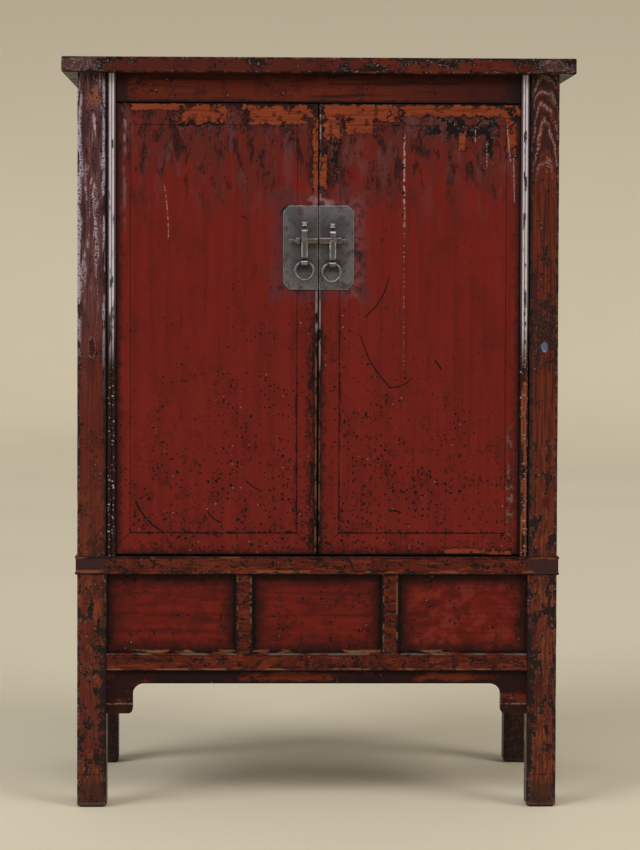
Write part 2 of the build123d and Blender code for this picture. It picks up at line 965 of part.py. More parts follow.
def turned(profile, y, z):
    """A body turned about a line along X from (x, radius) points, the first and last on it."""
    plane = Plane((0, y, z), x_dir=(1, 0, 0), z_dir=(0, -1, 0))
    face = plane * outline_face([(x, radius) for x, radius in profile])
    return revolve(face, Axis((0, y, z), (1, 0, 0)), 360)


def lock_bolt():
    """The sliding bolt: tail, knob, barrel in the left keeper and a tongue at the seam."""
    knob_right = -bolt_knob_right
    knob_left = knob_right - bolt_knob_length
    waist = bolt_knob_length / 4
    return turned(
        [
            (knob_left - bolt_tail_length, 0),
            (knob_left - bolt_tail_length, bolt_tail_radius),
            (knob_left, bolt_tail_radius),
            (knob_left + waist, bolt_knob_radius),
            (knob_right - waist, bolt_knob_radius),
            (knob_right, barrel_radius),
            (-bolt_seam_gap - tongue_length, barrel_radius),
            (-bolt_seam_gap - tongue_length, bolt_radius),
            (-bolt_seam_gap, bolt_radius),
            (-bolt_seam_gap, 0),
        ],
        bolt_y,
        bolt_height,
    )


def bolt_sleeve():
    """The socket in the right keeper: a tube closed by a collar and a rounded tip."""
    collar = sleeve_mouth + sleeve_length
    tip = collar + sleeve_collar_length
    end = tip + sleeve_tip_length
    depth = sleeve_mouth - bolt_seam_gap + bolt_travel
    sleeve = turned(
        [
            (sleeve_mouth, 0),
            (sleeve_mouth, sleeve_radius),
            (collar, sleeve_radius),
            (collar, sleeve_radius + sleeve_collar_rise),
            (tip, sleeve_radius + sleeve_collar_rise),
            (tip, sleeve_tip_radius),
            (end - sleeve_tip_radius / 2, sleeve_tip_radius),
            (end, sleeve_tip_radius / 2),
            (end, 0),
        ],
        bolt_y,
        bolt_height,
    )
    bore = crossways(
        bolt_radius + bolt_clearance,
        sleeve_mouth - cut_margin,
        sleeve_mouth + depth,
        bolt_y,
        bolt_height,
    )
    return sleeve - bore


# ---------------------------------------------------------------- the assembly
def build_top():
    """The top boards, their battens and the end pieces."""
    front = top_rail()
    panel = top_panel()
    battens = [top_batten(-top_batten_offset), top_batten(top_batten_offset)]
    post_stubs = post_blank()
    hole = pivot_hole(top_under, top_under + pivot_length + pivot_hole_gap)
    end = top_end(front, other_end(front), panel, post_stubs, other_end(post_stubs))
    back = less(other_end(front), panel, *battens)
    front = less(front, panel, *battens, hole, other_side(hole))
    save("top_front_rail", front)
    save("top_back_rail", back)
    save("top_left_end", end)
    save("top_right_end", other_side(end))
    save("top_panel", panel)
    save("top_battens", *battens)


def build_carcass():
    """Posts, rails, panels and aprons."""
    door_lintel = lintel()
    waist_front_rail = front_waist_rail()
    waist_left_rail = left_waist_rail()
    waist_back_rail = back_rail(waist_bottom, waist_top) - floor_rebate_cut()
    rail_low = lower_front_rail()
    rail_low_back = back_rail(lower_rail_bottom, lower_rail_top)
    rail_low_side = side_rail(lower_rail_bottom, lower_rail_top)
    rail_top_side = side_rail(lintel_bottom, top_under)
    rail_top_back = back_rail(lintel_bottom, top_under)
    muntins = [muntin(-muntin_x), muntin(muntin_x)]
    front_panels = [lower_front_panel(left, right) for left, right in panel_openings]
    side_low = side_panel(lower_rail_top, waist_bottom)
    side_high = side_panel(waist_top, lintel_bottom)
    back_low = back_panel(lower_rail_top, waist_bottom)
    back_high = back_panel(waist_top, lintel_bottom)
    board = compartment_board()

    side_pieces = [waist_left_rail, rail_low_side, rail_top_side, side_low, side_high]
    front_pieces = [door_lintel, waist_front_rail, rail_low, front_panels[0]]
    back_pieces = [waist_back_rail, rail_low_back, rail_top_back, back_low, back_high]
    near_post = front_post(*side_pieces, *front_pieces)
    far_post = less(other_end(post_blank()), *side_pieces, *back_pieces)
    save("post_front_left", near_post)
    save("post_front_right", other_side(near_post))
    save("post_back_left", far_post)
    save("post_back_right", other_side(far_post))

    save("door_lintel", door_lintel)
    save("waist_rail_front", less(waist_front_rail, *muntins, *front_panels))
    save("lower_rail_front", less(rail_low, *muntins, *front_panels, board))
    save("muntins", *[less(upright_bar, *front_panels) for upright_bar in muntins])
    for name, panel in zip(("left", "middle", "right"), front_panels):
        save(f"lower_panel_{name}", panel)

    waist_left_rail = less(waist_left_rail, side_low, side_high)
    rail_low_side = less(rail_low_side, side_low, board)
    rail_top_side = less(rail_top_side, side_high)
    for name, piece in (
        ("waist_rail", waist_left_rail),
        ("lower_rail", rail_low_side),
        ("upper_rail", rail_top_side),
    ):
        save(f"{name}_left", piece)
        save(f"{name}_right", other_side(piece))
    save("side_upper_panels", side_high, other_side(side_high))
    save("side_lower_panels", side_low, other_side(side_low))

    save("waist_rail_back", less(waist_back_rail, back_low, back_high))
    save("lower_rail_back", less(rail_low_back, back_low, board))
    save("upper_rail_back", less(rail_top_back, back_high))
    save("back_panels", back_low, back_high)

    save("apron_front", front_apron())
    save("bracket_front_left", front_bracket())
    save("bracket_front_right", other_side(front_bracket()))
    save("apron_left", side_apron())
    save("apron_right", other_side(side_apron()))
    corner = side_bracket()
    left_pair = [corner, other_end(corner)]
    save("side_brackets", *left_pair, *[other_side(piece) for piece in left_pair])

    save("compartment_bottom", less(board, *post_corners(0)))


def build_inside():
    """Floor, lift-out lid, shelf and cleats."""
    left_board = floor_board()
    save("floor_boards", left_board, other_side(left_board))
    save("floor_lid", floor_lid())
    save("shelf", shelf())
    save("shelf_cleats", shelf_cleat(), other_side(shelf_cleat()))


def build_door(side, place, drop):
    """One door with its half of the ironwork; place puts each piece on its side."""
    shanks = keeper_shanks(drop)
    for name, piece in door_pieces(shanks).items():
        solids = piece if isinstance(piece, list) else [piece]
        save(f"{side}_door_{name}", *[place(solid) for solid in solids])
    save(f"{side}_lock_plate", place(lock_plate(shanks)))
    save(f"{side}_keeper", place(keeper(drop)))
    save(f"{side}_ring", place(ring(drop)))


os.makedirs("parts", exist_ok=True)
build_top()
build_carcass()
build_inside()
build_door("left", lambda shape: shape, 0)
build_door("right", other_side, right_keeper_drop)
save("lock_bolt", lock_bolt())
save("bolt_sleeve", bolt_sleeve())
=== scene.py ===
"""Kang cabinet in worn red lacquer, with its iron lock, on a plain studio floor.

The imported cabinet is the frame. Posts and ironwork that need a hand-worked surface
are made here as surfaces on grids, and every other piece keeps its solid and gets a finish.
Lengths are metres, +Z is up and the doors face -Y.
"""
import math

import bpy
import numpy as np
from mathutils import Matrix, Vector


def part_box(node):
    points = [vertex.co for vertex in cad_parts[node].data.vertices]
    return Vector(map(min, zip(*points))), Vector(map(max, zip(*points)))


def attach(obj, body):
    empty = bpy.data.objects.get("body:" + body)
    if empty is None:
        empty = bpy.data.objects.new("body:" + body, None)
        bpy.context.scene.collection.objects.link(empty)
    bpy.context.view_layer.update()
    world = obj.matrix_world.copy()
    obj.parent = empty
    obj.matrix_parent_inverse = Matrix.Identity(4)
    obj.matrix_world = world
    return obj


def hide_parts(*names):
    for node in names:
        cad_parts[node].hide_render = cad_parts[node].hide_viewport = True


bl_info = {
    "name": "Kang cabinet",
    "version": (1, 0, 0),
    "blender": (4, 5, 0),
    "location": "View3D > Sidebar > Kang cabinet",
    "description": "Dresses the packed kang cabinet in worn lacquer and forged iron",
    "category": "Object",
}

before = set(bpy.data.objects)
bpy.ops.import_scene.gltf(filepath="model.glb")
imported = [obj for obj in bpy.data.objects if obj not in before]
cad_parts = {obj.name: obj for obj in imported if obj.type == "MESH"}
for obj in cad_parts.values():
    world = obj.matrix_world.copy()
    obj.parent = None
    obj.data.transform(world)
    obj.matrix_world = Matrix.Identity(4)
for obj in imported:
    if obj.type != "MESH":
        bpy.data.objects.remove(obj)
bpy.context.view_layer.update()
MM = 0.001


# ---------------------------------------------------------------- places that shapes and finishes follow
def box_of(node):
    """Lowest and highest corner of a solid as arrays."""
    low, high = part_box(node)
    return np.array(low), np.array(high)


def span(node, axis):
    """Lowest and highest place of a solid along one axis."""
    low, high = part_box(node)
    return float(low[axis]), float(high[axis])


TONGUE = 6 * MM  # how far a lower panel goes into its muntins
ROD_WIDE = 11.5 * MM
POST_IN, POST_OUT = span("post_back_right", 0)
POST_NEAR, POST_FAR = span("post_back_right", 1)
POST_MIDDLE = (POST_IN + POST_OUT) / 2
TOP_LOW, TOP_HIGH = span("top_right_end", 2)
END_JOINT, TOP_SIDE = span("top_right_end", 0)
BOARD_JOINT, TOP_FRONT = span("top_back_rail", 1)
LINTEL_LOW = span("door_lintel", 2)[0]
WAIST_LOW, WAIST_HIGH = span("waist_rail_front", 2)
RAIL_LOW, RAIL_HIGH = span("lower_rail_front", 2)
BRACKET_LOW = span("bracket_front_right", 2)[0]
APRON_LOW = span("apron_front", 2)[0]
MUNTIN_IN, MUNTIN_OUT = span("lower_panel_middle", 0)[1] - TONGUE, span("muntins", 0)[1]
SEAM, STILE = span("right_door_meeting_stile", 0)
HINGE, ROD_OUT = span("right_door_hinge_stile", 0)
LEAF_SIDE = ROD_OUT - ROD_WIDE
LEAF_LOW, LEAF_HIGH = span("right_door_meeting_stile", 2)
LEAF_LEVEL = (LEAF_LOW + LEAF_HIGH) / 2
FOOT_RAIL = span("right_door_bottom_rail", 2)[1]
HEAD_RAIL = span("right_door_top_rail", 2)[0]
LEAF_FACE = span("right_door_meeting_stile", 1)[0]
PLATE_LOW, PLATE_HIGH = span("right_lock_plate", 2)
PLATE_LEVEL, PLATE_HALF = (PLATE_LOW + PLATE_HIGH) / 2, (PLATE_HIGH - PLATE_LOW) / 2
PLATE_SIDE = span("right_lock_plate", 0)[1]
PLATE_FACE = span("right_lock_plate", 1)[0]
BAR_LEVEL = sum(span("bolt_sleeve", 2)) / 2
PLATE_SEAM = 0.7 * MM  # the halves nearly meet at the seam
CANT_WIDE, CANT_HIGH = 8.6 * MM, 9 * MM
KEEPER_X = sum(span("right_keeper", 0)) / 2


# ---------------------------------------------------------------- surfaces on grids
def ripple(points, size, seed):
    """Smooth noise of about -1 to 1: the mean of sixteen sine waves whose directions and phases
    are drawn from the seed and whose lengths lie round the given size, times two."""
    draw = np.random.default_rng(seed)
    total = np.zeros(points.shape[:-1])
    for _ in range(16):
        way = draw.normal(size=3)
        way /= np.linalg.norm(way)
        length = size * draw.uniform(0.6, 1.7)
        phase = draw.uniform(0, 6.283)
        total += np.sin(points @ way * (2 * math.pi / length) + phase)
    return total / 8


def grid_object(name, points, body=None, close=True):
    """A smooth piece from a grid of points, fixed to the body it moves with. Rows run along it and
    columns round it, the last joined to the first; with close each end is a fan to its mean."""
    rows, columns = points.shape[:2]
    number = np.arange(rows * columns).reshape(rows, columns)
    following = np.roll(number, -1, axis=1)
    quads = np.stack([number[:-1], following[:-1], following[1:], number[1:]], axis=-1).reshape(-1, 4)
    spots = points.reshape(-1, 3)
    faces = quads.tolist()
    if close:
        ends = np.stack([points[0].mean(axis=0), points[-1].mean(axis=0)])
        first = len(spots)
        spots = np.vstack([spots, ends])
        low = np.stack([np.full(columns, first), following[0], number[0]], axis=-1)
        high = np.stack([np.full(columns, first + 1), number[-1], following[-1]], axis=-1)
        faces = faces + low.tolist() + high.tolist()
    mesh = bpy.data.meshes.new(name)
    mesh.from_pydata(spots.tolist(), [], faces)
    mesh.validate()
    mesh.polygons.foreach_set("use_smooth", np.ones(len(mesh.polygons), bool))
    mesh.update()
    piece = bpy.data.objects.new(name, mesh)
    bpy.context.scene.collection.objects.link(piece)
    if body:
        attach(piece, body)
    return piece


def spaced(low, high, step, crowd):
    """Places from low to high about step apart, with extra ones crowded into both ends."""
    count = max(2, int(round((high - low) / step)))
    inner = np.linspace(low + crowd, high - crowd, count + 1)
    ends = crowd * (1 - np.cos(np.linspace(0, math.pi / 2, 6)))
    return np.unique(np.concatenate([low + ends, inner, high - ends]))


def bar_outline(low, high, step, crowd):
    """The outline of a rectangle, walked round once, with its points crowded at the corners."""
    across = spaced(low[0], high[0], step, crowd)
    up = spaced(low[1], high[1], step, crowd)
    sides = [
        np.stack([across[:-1], np.full(len(across) - 1, low[1])], axis=-1),
        np.stack([np.full(len(up) - 1, high[0]), up[:-1]], axis=-1),
        np.stack([across[::-1][:-1], np.full(len(across) - 1, high[1])], axis=-1),
        np.stack([np.full(len(up) - 1, low[0]), up[::-1][:-1]], axis=-1),
    ]
    return np.concatenate(sides)


def worn_bar(name, low, high, body, radius, step, wear, seed, foot=0.0, fit=None):
    """An upright board or post with rubbed edges. Each point of the plain box is pulled on to a
    sphere of the edge radius round the box inset by that radius, and then sinks along that pull
    by the chips, which are noise above a threshold and die away from the edges. The radius may
    grow towards the low end, by foot, as a stood-on foot does, and fit may reshape the points."""
    low, high = np.array(low, float), np.array(high, float)
    crowd = 2.2 * radius
    outline = bar_outline(low[:2], high[:2], step, crowd)
    along = spaced(low[2], high[2], step, crowd)
    middle = (low[:2] + high[:2]) / 2
    # three rows inside each end carry its flat face towards the middle
    inset = np.array([0.35, 0.8, 0.93])
    shrink = np.concatenate([inset, np.ones(len(along)), inset[::-1]])
    run = np.concatenate([np.full(3, low[2]), along, np.full(3, high[2])])
    plain = np.empty((len(run), len(outline), 3))
    plain[..., :2] = middle + (outline - middle)[None] * shrink[:, None, None]
    plain[..., 2] = run[:, None]
    grown = radius + foot * np.clip(1 - (plain[..., 2] - low[2]) / (3 * foot + 1e-9), 0, 1) ** 2
    inner = np.clip(plain, low + grown[..., None], high - grown[..., None])
    pull = plain - inner
    pull /= np.linalg.norm(pull, axis=-1, keepdims=True) + 1e-12
    shape = inner + pull * grown[..., None]
    gaps = np.sort(np.minimum(plain - low, high - plain), axis=-1)[..., 1]
    near = np.exp(-((gaps / (3.2 * MM)) ** 2))
    chips = np.clip(ripple(plain, 16 * MM, seed) - 0.45, 0, 1)
    chips += 0.5 * np.clip(ripple(plain, 6 * MM, seed + 1) - 0.6, 0, 1)
    waves = 0.1 - 0.096 * ripple(plain, 60 * MM, seed + 2)
    rubbed = 0.25 * (ripple(plain, 30 * MM, seed + 3) + 1)
    sunk = wear * MM * (near * (1.3 * chips + rubbed) + waves)
    shape = shape - pull * np.clip(sunk, 0, None)[..., None]
    return grid_object(name, shape if fit is None else fit(shape), body)


def turned(name, profile, centre, body, around=48, close=True, power=1.0):
    """A body turned about a line along X through centre: the profile's (x, radius) points are
    carried round a circle, which a power below 1 squares. Without close the profile is a loop and
    the body a ring."""
    x, radius = np.array(profile).T
    angle = np.linspace(0, 2 * math.pi, around, endpoint=False)
    points = np.empty((len(x), around, 3))
    points[..., 0] = x[:, None]
    across, up = rounded(angle, power)
    points[..., 1] = centre[0] + radius[:, None] * across
    points[..., 2] = centre[1] + radius[:, None] * up
    return grid_object(name, points, body, close)


def rounded(angle, power):
    """A circle's cosine and sine, each raised to a power and kept in sign, which squares it."""
    return [np.sign(part) * np.abs(part) ** power for part in (np.cos(angle), np.sin(angle))]


def bow(name, middle, top, length, front, plate, flute, body):
    """A forged strap bowed out from the plate. Its middle line is half of a squared ellipse in the
    YZ plane, cut into equal steps; its section is a squared ellipse whose half width is flared at
    the top, waisted below it and full lower down, and its front is hollowed there by the flute."""
    thick = 1.3 * MM
    sweep = np.linspace(0, math.pi, 4001)
    up, out = rounded(sweep, 0.22)
    line_y = plate - out * (plate - front - thick)
    line_z = top - length / 2 + up * (length / 2 - thick)
    gone = np.concatenate([[0], np.cumsum(np.hypot(np.diff(line_y), np.diff(line_z)))])
    even = np.linspace(0, gone[-1], 90)
    line_y, line_z = np.interp(even, gone, line_y), np.interp(even, gone, line_z)
    run_y, run_z = np.gradient(line_y), np.gradient(line_z)
    size = np.hypot(run_y, run_z)
    out_y, out_z = (run_z / size)[:, None], (-run_y / size)[:, None]
    down = (top - line_z) / length * STRAP_WIDTHS[-1][0]
    wide = (np.interp(down, *np.array(STRAP_WIDTHS).T) * MM)[:, None]
    hollow = (np.interp(down, *np.array(STRAP_FLUTE).T) * flute)[:, None]
    across, proud = rounded(np.linspace(0, 2 * math.pi, 40, endpoint=False)[None, :], 0.62)
    lift = thick * proud - hollow * np.exp(-((across / 0.62) ** 4)) * (proud > 0)
    deep, tall = line_y[:, None] + out_y * lift, line_z[:, None] + out_z * lift
    points = np.stack([middle + wide * across, deep, tall], axis=-1)
    points[..., 0] += 0.12 * MM * ripple(points, 9 * MM, 41)
    return grid_object(name, points, body)


def button(name, middle, plate, half, body):
    """A forged knob on the plate: squared ellipses that shrink towards its dished front."""
    rise = np.linspace(0, 1, 22)[:, None] ** 0.6
    shrink = np.clip(1 - rise**5, 0, 1) ** 0.45
    across, up = rounded(np.linspace(0, 2 * math.pi, 44, endpoint=False)[None, :], 0.55)
    dish = 1.1 * MM * np.exp(-(((up * shrink + 0.15) / 0.22) ** 2)) * np.clip(rise * 3 - 2, 0, 1)
    flare = 1 - 0.14 * (1 - up)
    points = np.empty((22, 44, 3))
    points[..., 0] = middle[0] + half[0] * across * shrink * flare
    points[..., 1] = plate - half[2] * rise + dish
    points[..., 2] = middle[1] + half[1] * up * shrink
    return grid_object(name, points, body)


def eye(name, middle, line, body):
    """The staple that holds the ring: a short tube along X, waisted and rounded at its mouths."""
    turn = np.linspace(0, 2 * math.pi, 41)
    along, thick = rounded(turn, 0.6)
    radius = 4.3 + 0.8 * thick + 0.25 * along**2
    profile = np.stack([middle + 4.5 * MM * along, radius * MM], axis=-1)
    return turned(name, profile, line, body, 40, False)


def pull_ring(name, middle, mean, wire, body):
    """A ring of round wire in the XZ plane, a torus: the wire's circle is carried round the mean
    circle, and the sines of three and five times the turn make its thickness a little uneven."""
    turn = np.linspace(0, 2 * math.pi, 97)[:, None]
    round_wire = np.linspace(0, 2 * math.pi, 24, endpoint=False)[None, :]
    thick = wire * (0.93 + 0.05 * np.sin(3 * turn + 1) + 0.03 * np.cos(5 * turn))
    reach = mean + thick * np.cos(round_wire)
    points = np.empty((*reach.shape, 3))
    points[..., 0] = middle[0] + reach * np.cos(turn)
    points[..., 1] = middle[1] + thick * np.sin(round_wire)
    points[..., 2] = middle[2] + reach * np.sin(turn)
    points[-1] = points[0]
    return grid_object(name, points, body, close=False)


# half width in mm and share of the flute at places down a strap; both stretch with its length
STRAP_WIDTHS = [
    (0, 4.5), (2, 4.8), (5, 4.4), (7, 3.3), (12, 3.2), (15, 4.0), (20, 4.5), (34, 4.5), (38, 4.3),
    (40.5, 3.8), (42, 3.2),
]
STRAP_FLUTE = [(13, 0), (17, 1), (36, 1), (39.5, 0)]
# place along X from the seam and radius, both in mm
BOLT_PROFILE = [
    (-43, 0.8), (-42.6, 1.9), (-41.4, 2.8), (-38.6, 3.1), (-36.4, 2.7), (-35.2, 1.8), (-33.8, 1.7),
    (-32.8, 2.2), (-32, 4.2), (-31, 4.9), (-27.2, 4.9), (-26, 4.4), (-25.4, 3.9), (-16, 3.9),
    (-1.2, 3.95), (-0.8, 3.6),
]
SLEEVE_PROFILE = [
    (10.5, 0.4), (10.4, 4.25), (1.5, 4.3), (1.0, 4.6), (1.1, 5.0), (1.6, 5.2), (4, 5.15), (14, 5.2),
    (24.2, 5.1), (24.9, 4.7), (25.3, 4.2), (26.2, 4.2), (26.6, 4.9), (27.2, 5.4), (31.6, 5.4),
    (32.3, 5.1), (32.7, 4.0), (33.1, 2.7), (34, 2.4), (34.8, 2.8), (35.6, 3.3), (39.6, 3.3),
    (40.5, 2.7), (41, 1.4),
]


# ---------------------------------------------------------------- shader sums
class Sum:
    """A number in a material. + - * / and ** on it add Math nodes."""

    def __init__(self, paint, socket):
        self.paint, self.socket = paint, socket

    def __add__(self, other):
        return self.paint.maths("ADD", self, other)

    def __sub__(self, other):
        return self.paint.maths("SUBTRACT", self, other)

    def __rsub__(self, other):
        return self.paint.maths("SUBTRACT", other, self)

    def __mul__(self, other):
        return self.paint.maths("MULTIPLY", self, other)

    def __truediv__(self, other):
        return self.paint.maths("DIVIDE", self, other)

    def __rtruediv__(self, other):
        return self.paint.maths("DIVIDE", other, self)

    def __pow__(self, other):
        return self.paint.maths("POWER", self, other)

    def __abs__(self):
        return self.paint.maths("ABSOLUTE", self)

    __radd__ = __add__
    __rmul__ = __mul__


def linear(colour):
    """A screen colour of 0 to 255 as the light it stands for."""
    share = np.array(colour, float) / 255
    light = np.where(share <= 0.04045, share / 12.92, ((share + 0.055) / 1.055) ** 2.4)
    return (*[float(c) for c in light], 1.0)


def shown(colour):
    """The base colour that the studio's light turns into a screen colour of 0 to 255."""
    return (*[max(0.0003, (c - 0.006) / 1.12) for c in linear(colour)[:3]], 1.0)


class Paint:
    """One material: node() adds every node, and the short methods after it name common ones."""

    def __init__(self, name):
        self.material = bpy.data.materials.new(name)
        self.material.use_nodes = True
        self.tree = self.material.node_tree
        self.tree.nodes.clear()
        self.place = self.node("ShaderNodeTexCoord").outputs["Object"]
        parts = self.node("ShaderNodeSeparateXYZ", {}, {0: self.place})
        self.x, self.y, self.z = [Sum(self, out) for out in parts.outputs]
        # the place laid flat along a slanting line, so one plain pattern covers faces of every side
        across, up = self.x + self.y * 0.9, self.z + self.y * 0.05 - 0.0773
        self.flat = self.node("ShaderNodeCombineXYZ", {}, {0: across, 1: up}).outputs[0]

    def node(self, kind, settings=None, sockets=None):
        """Adds one node: its settings first, then the values or links of its sockets."""
        made = self.tree.nodes.new(kind)
        for key, value in (settings or {}).items():
            setattr(made, key, value)
        for key, value in (sockets or {}).items():
            if isinstance(value, Sum):
                value = value.socket
            if isinstance(value, bpy.types.NodeSocket):
                self.tree.links.new(value, made.inputs[key])
            else:
                made.inputs[key].default_value = value
        return made

    def maths(self, operation, one, two=0.0, three=0.0):
        """One Math node."""
        made = self.node("ShaderNodeMath", {"operation": operation}, {0: one, 1: two, 2: three})
        return Sum(self, made.outputs[0])

    def least(self, one, two):
        """The smaller of two numbers."""
        return self.maths("MINIMUM", one, two)

    def most(self, one, two):
        """The larger of two numbers."""
        return self.maths("MAXIMUM", one, two)

    def rise(self, value, start, end, low=0.0, high=1.0):
        """low below start, high above end and smooth between; start above end turns it round."""
        if start > end:
            start, end, low, high = end, start, high, low
        settings = {"interpolation_type": "SMOOTHSTEP"}
        made = self.node("ShaderNodeMapRange", settings, {0: value, 1: start, 2: end, 3: low, 4: high})
        return Sum(self, made.outputs[0])

    def run(self, along_x, along_z, less):
        """x and z summed by two factors, less a number: the distance from a line's plane."""
        part = self.maths("MULTIPLY_ADD", self.z, along_z, -less)
        return self.maths("MULTIPLY_ADD", self.x, along_x, part)

    def near(self, value, target, reach, soft):
        """1 within reach of the target, 0 beyond reach plus soft."""
        return self.rise(abs(value - target), reach + soft, reach)

    def between(self, value, low, high, soft):
        """1 from low to high, 0 further out than soft."""
        return self.near(value, (low + high) / 2, (high - low) / 2, soft)

    def from_spot(self, x, z, narrow):
        """Distance over the front to a spot, with what lies across counted more by narrow."""
        return ((self.x - x) ** 2 * narrow + (self.z - z) ** 2) ** 0.5

    def largest(self, values):
        """The largest of several numbers."""
        total = None
        for value in values:
            total = value if total is None else self.most(total, value)
        return total

    def moved(self, stretch, shift=(0.0, 0.0, 0.0)):
        """The object's own place, stretched and shifted; a pair of numbers takes the flat place."""
        flat = len(stretch) == 2
        made = self.node(
            "ShaderNodeVectorMath",
            {"operation": "MULTIPLY_ADD"},
            {0: self.flat if flat else self.place, 1: (*stretch, 1.0)[:3], 2: tuple(shift)},
        )
        return made.outputs[0]

    def noise(self, size, stretch=(1, 1), shift=(0, 0, 0), detail=3.0, rough=0.55, bend=0.0):
        """Soft noise round 0.5 whose blots are about size metres, longer where stretch is small."""
        made = self.node(
            "ShaderNodeTexNoise",
            {"noise_dimensions": "2D" if len(stretch) == 2 else "3D"},
            {
                "Vector": self.moved(stretch, shift),
                "Scale": 1 / size,
                "Detail": detail,
                "Roughness": rough,
                "Distortion": bend,
            },
        )
        return Sum(self, made.outputs[0])

    def cells(self, size, stretch=(1, 1), shift=(0, 0, 0)):
        """Distance to scattered points about size metres apart, and a chance value of each."""
        made = self.node(
            "ShaderNodeTexVoronoi",
            {"voronoi_dimensions": "2D" if len(stretch) == 2 else "3D"},
            {"Vector": self.moved(stretch, shift), "Scale": 1 / size},
        )
        chance = self.node("ShaderNodeSeparateColor", {}, {0: made.outputs["Color"]}).outputs[0]
        return Sum(self, made.outputs["Distance"]), Sum(self, chance)

    def dots(self, size, share, reach, where=1.0, ragged=None, stretch=(1, 1), shift=(0, 0, 0)):
        """Spots round scattered points: the share of them, fewer where where is small, each up to
        reach of its cell wide, with a border that the ragged noise makes uneven."""
        gap, chance = self.cells(size, stretch, shift)
        chosen = chance + where - 1
        width = self.rise(chosen, 1 - share, 1.02) * reach + 0.0001
        if ragged is not None:
            gap = gap + (ragged - 0.5) * reach * 2.4
        return self.rise(gap / width, 1.0, 0.7) * self.maths("GREATER_THAN", chosen, 1 - share)

    def mix(self, share, one, two):
        """From colour one to colour two by the share."""
        made = self.node("ShaderNodeMix", {"data_type": "RGBA"}, {0: share, 6: one, 7: two})
        return made.outputs[2]

    def finish(self, colour, roughness, height, depth=0.4 * MM, metal=0.0, coat=0.0, specular=0.3):
        """The surface itself: colour, roughness and relief vary, the rest is the same all over."""
        bump = self.node("ShaderNodeBump", {}, {"Strength": 1.0, "Distance": depth, "Height": height})
        surface = self.node(
            "ShaderNodeBsdfPrincipled",
            {},
            {
                "Base Color": colour,
                "Roughness": roughness,
                "Metallic": metal,
                "Normal": bump.outputs[0],
                "Coat Weight": coat,
                "Coat Roughness": 0.18,
                "Specular IOR Level": specular,
            },
        )
        self.node("ShaderNodeOutputMaterial", {}, {0: surface.outputs[0]})
        return self.material


# BLACK marks holes, cracks and joints and also painted shade; the next colour marks grime and also painted
# shade
BLACK = (21, 12, 10)
GRIME_AND_SHADE = (29, 16, 13)


class Coat(Paint):
    """A finish built up in layers of colour and height, each by its own share. Roughness follows
    the colour: black grime is matt and light rubbed lacquer smooth. wander is the noise that makes
    every border ragged, fine the one that breaks up patches."""

    def __init__(self, name, colour, light=shown):
        super().__init__(name)
        self.light = light
        self.colour = light(colour)
        self.wander = self.noise(0.012, detail=5, rough=0.68)
        self.fine = self.noise(0.0032, shift=(3, 1, 0), detail=2, rough=0.6)
        self.height = self.wander * 0.5 + self.fine * 0.25

    def lay(self, share, colour, lift=0.0):
        """Lays one layer where share is 1; lift raises it, or sinks it if negative."""
        self.colour = self.mix(share, self.colour, self.light(colour))
        if lift:
            self.height = self.maths("MULTIPLY_ADD", share, lift, self.height)

    def ragged(self, gap, reach, rag=2.6, blur=0.5):
        """1 where the gap to an edge is under reach, with a ragged border."""
        border = self.maths("MULTIPLY_ADD", self.wander, reach * rag, gap)
        return self.rise(border, reach * (1 + rag / 2), reach * (1 - blur + rag / 2))

    def done(self, dull=0.58, sleek=0.3, **rest):
        """Closes the material."""
        red = self.node("ShaderNodeSeparateColor", {}, {0: self.colour}).outputs[0]
        rough = self.rise(red, 0.004, 0.15, dull, sleek)
        return self.finish(self.colour, rough, self.height, **rest)


GRAIN = {"x": (0.07, 0.07, 1.0), "top": (0.07, 1.0, 1.0), "z": (1.0, 0.06)}


def aged(p, grain, seed, specks=0.5, flecks=0.5, tone=(50, 22, 18)):
    """Age that every lacquered board shows: tone along the grain, cloudy darkening, worm holes
    and pecks in patches, short cracks along the grain and pinpoints of bare filler."""
    place = (seed * 1.37, seed * 0.73, seed * 2.11)
    p.lay(p.rise(p.noise(0.01, GRAIN[grain], place, detail=4, rough=0.65), 0.52, 0.7) * 0.5, tone)
    cloud = p.noise(0.03, (1, 0.7), place, detail=5, rough=0.65)
    p.lay(p.rise(cloud, 0.52, 0.66) * p.rise(p.fine, 0.32, 0.6) * 0.55, tone, -0.2)
    where = p.rise(cloud, 0.4, 0.62) * 0.55 + 0.42
    holes = p.dots(0.0068, specks, 0.34, where, p.fine, shift=place)
    small = p.dots(0.0036, specks, 0.3, where, p.fine, shift=place)
    p.lay(p.most(holes, small * 0.9), BLACK, -0.8)
    p.lay(p.dots(0.0078, flecks * 0.4, 0.13, where, shift=(*place[:2], 4)), (158, 140, 130), 0.4)


def chipped(p, edge, reach, seed, bare=(92, 46, 31), share=1.0):
    """Edges rubbed and chipped: dark and ragged within reach, bare wood in the widest chips and
    pinpoints of light on their rims."""
    p.lay(p.ragged(edge, reach, 3.2) * 0.92 * share, GRIME_AND_SHADE, -0.5)
    place = (seed * 0.61, seed * 1.91, 0)
    wood = p.noise(0.02, (1, 1), place, detail=4, rough=0.6)
    p.lay(p.rise(edge, reach * 0.85, reach * 0.4) * p.rise(wood, 0.54, 0.6) * share, bare, -0.3)
    rim = p.near(p.wander, 0.56, 0.012, 0.014) * p.rise(edge, reach * 1.1, reach * 0.5)
    p.lay(rim * p.rise(p.fine, 0.48, 0.6) * 0.75 * share, (148, 132, 126), 0.4)


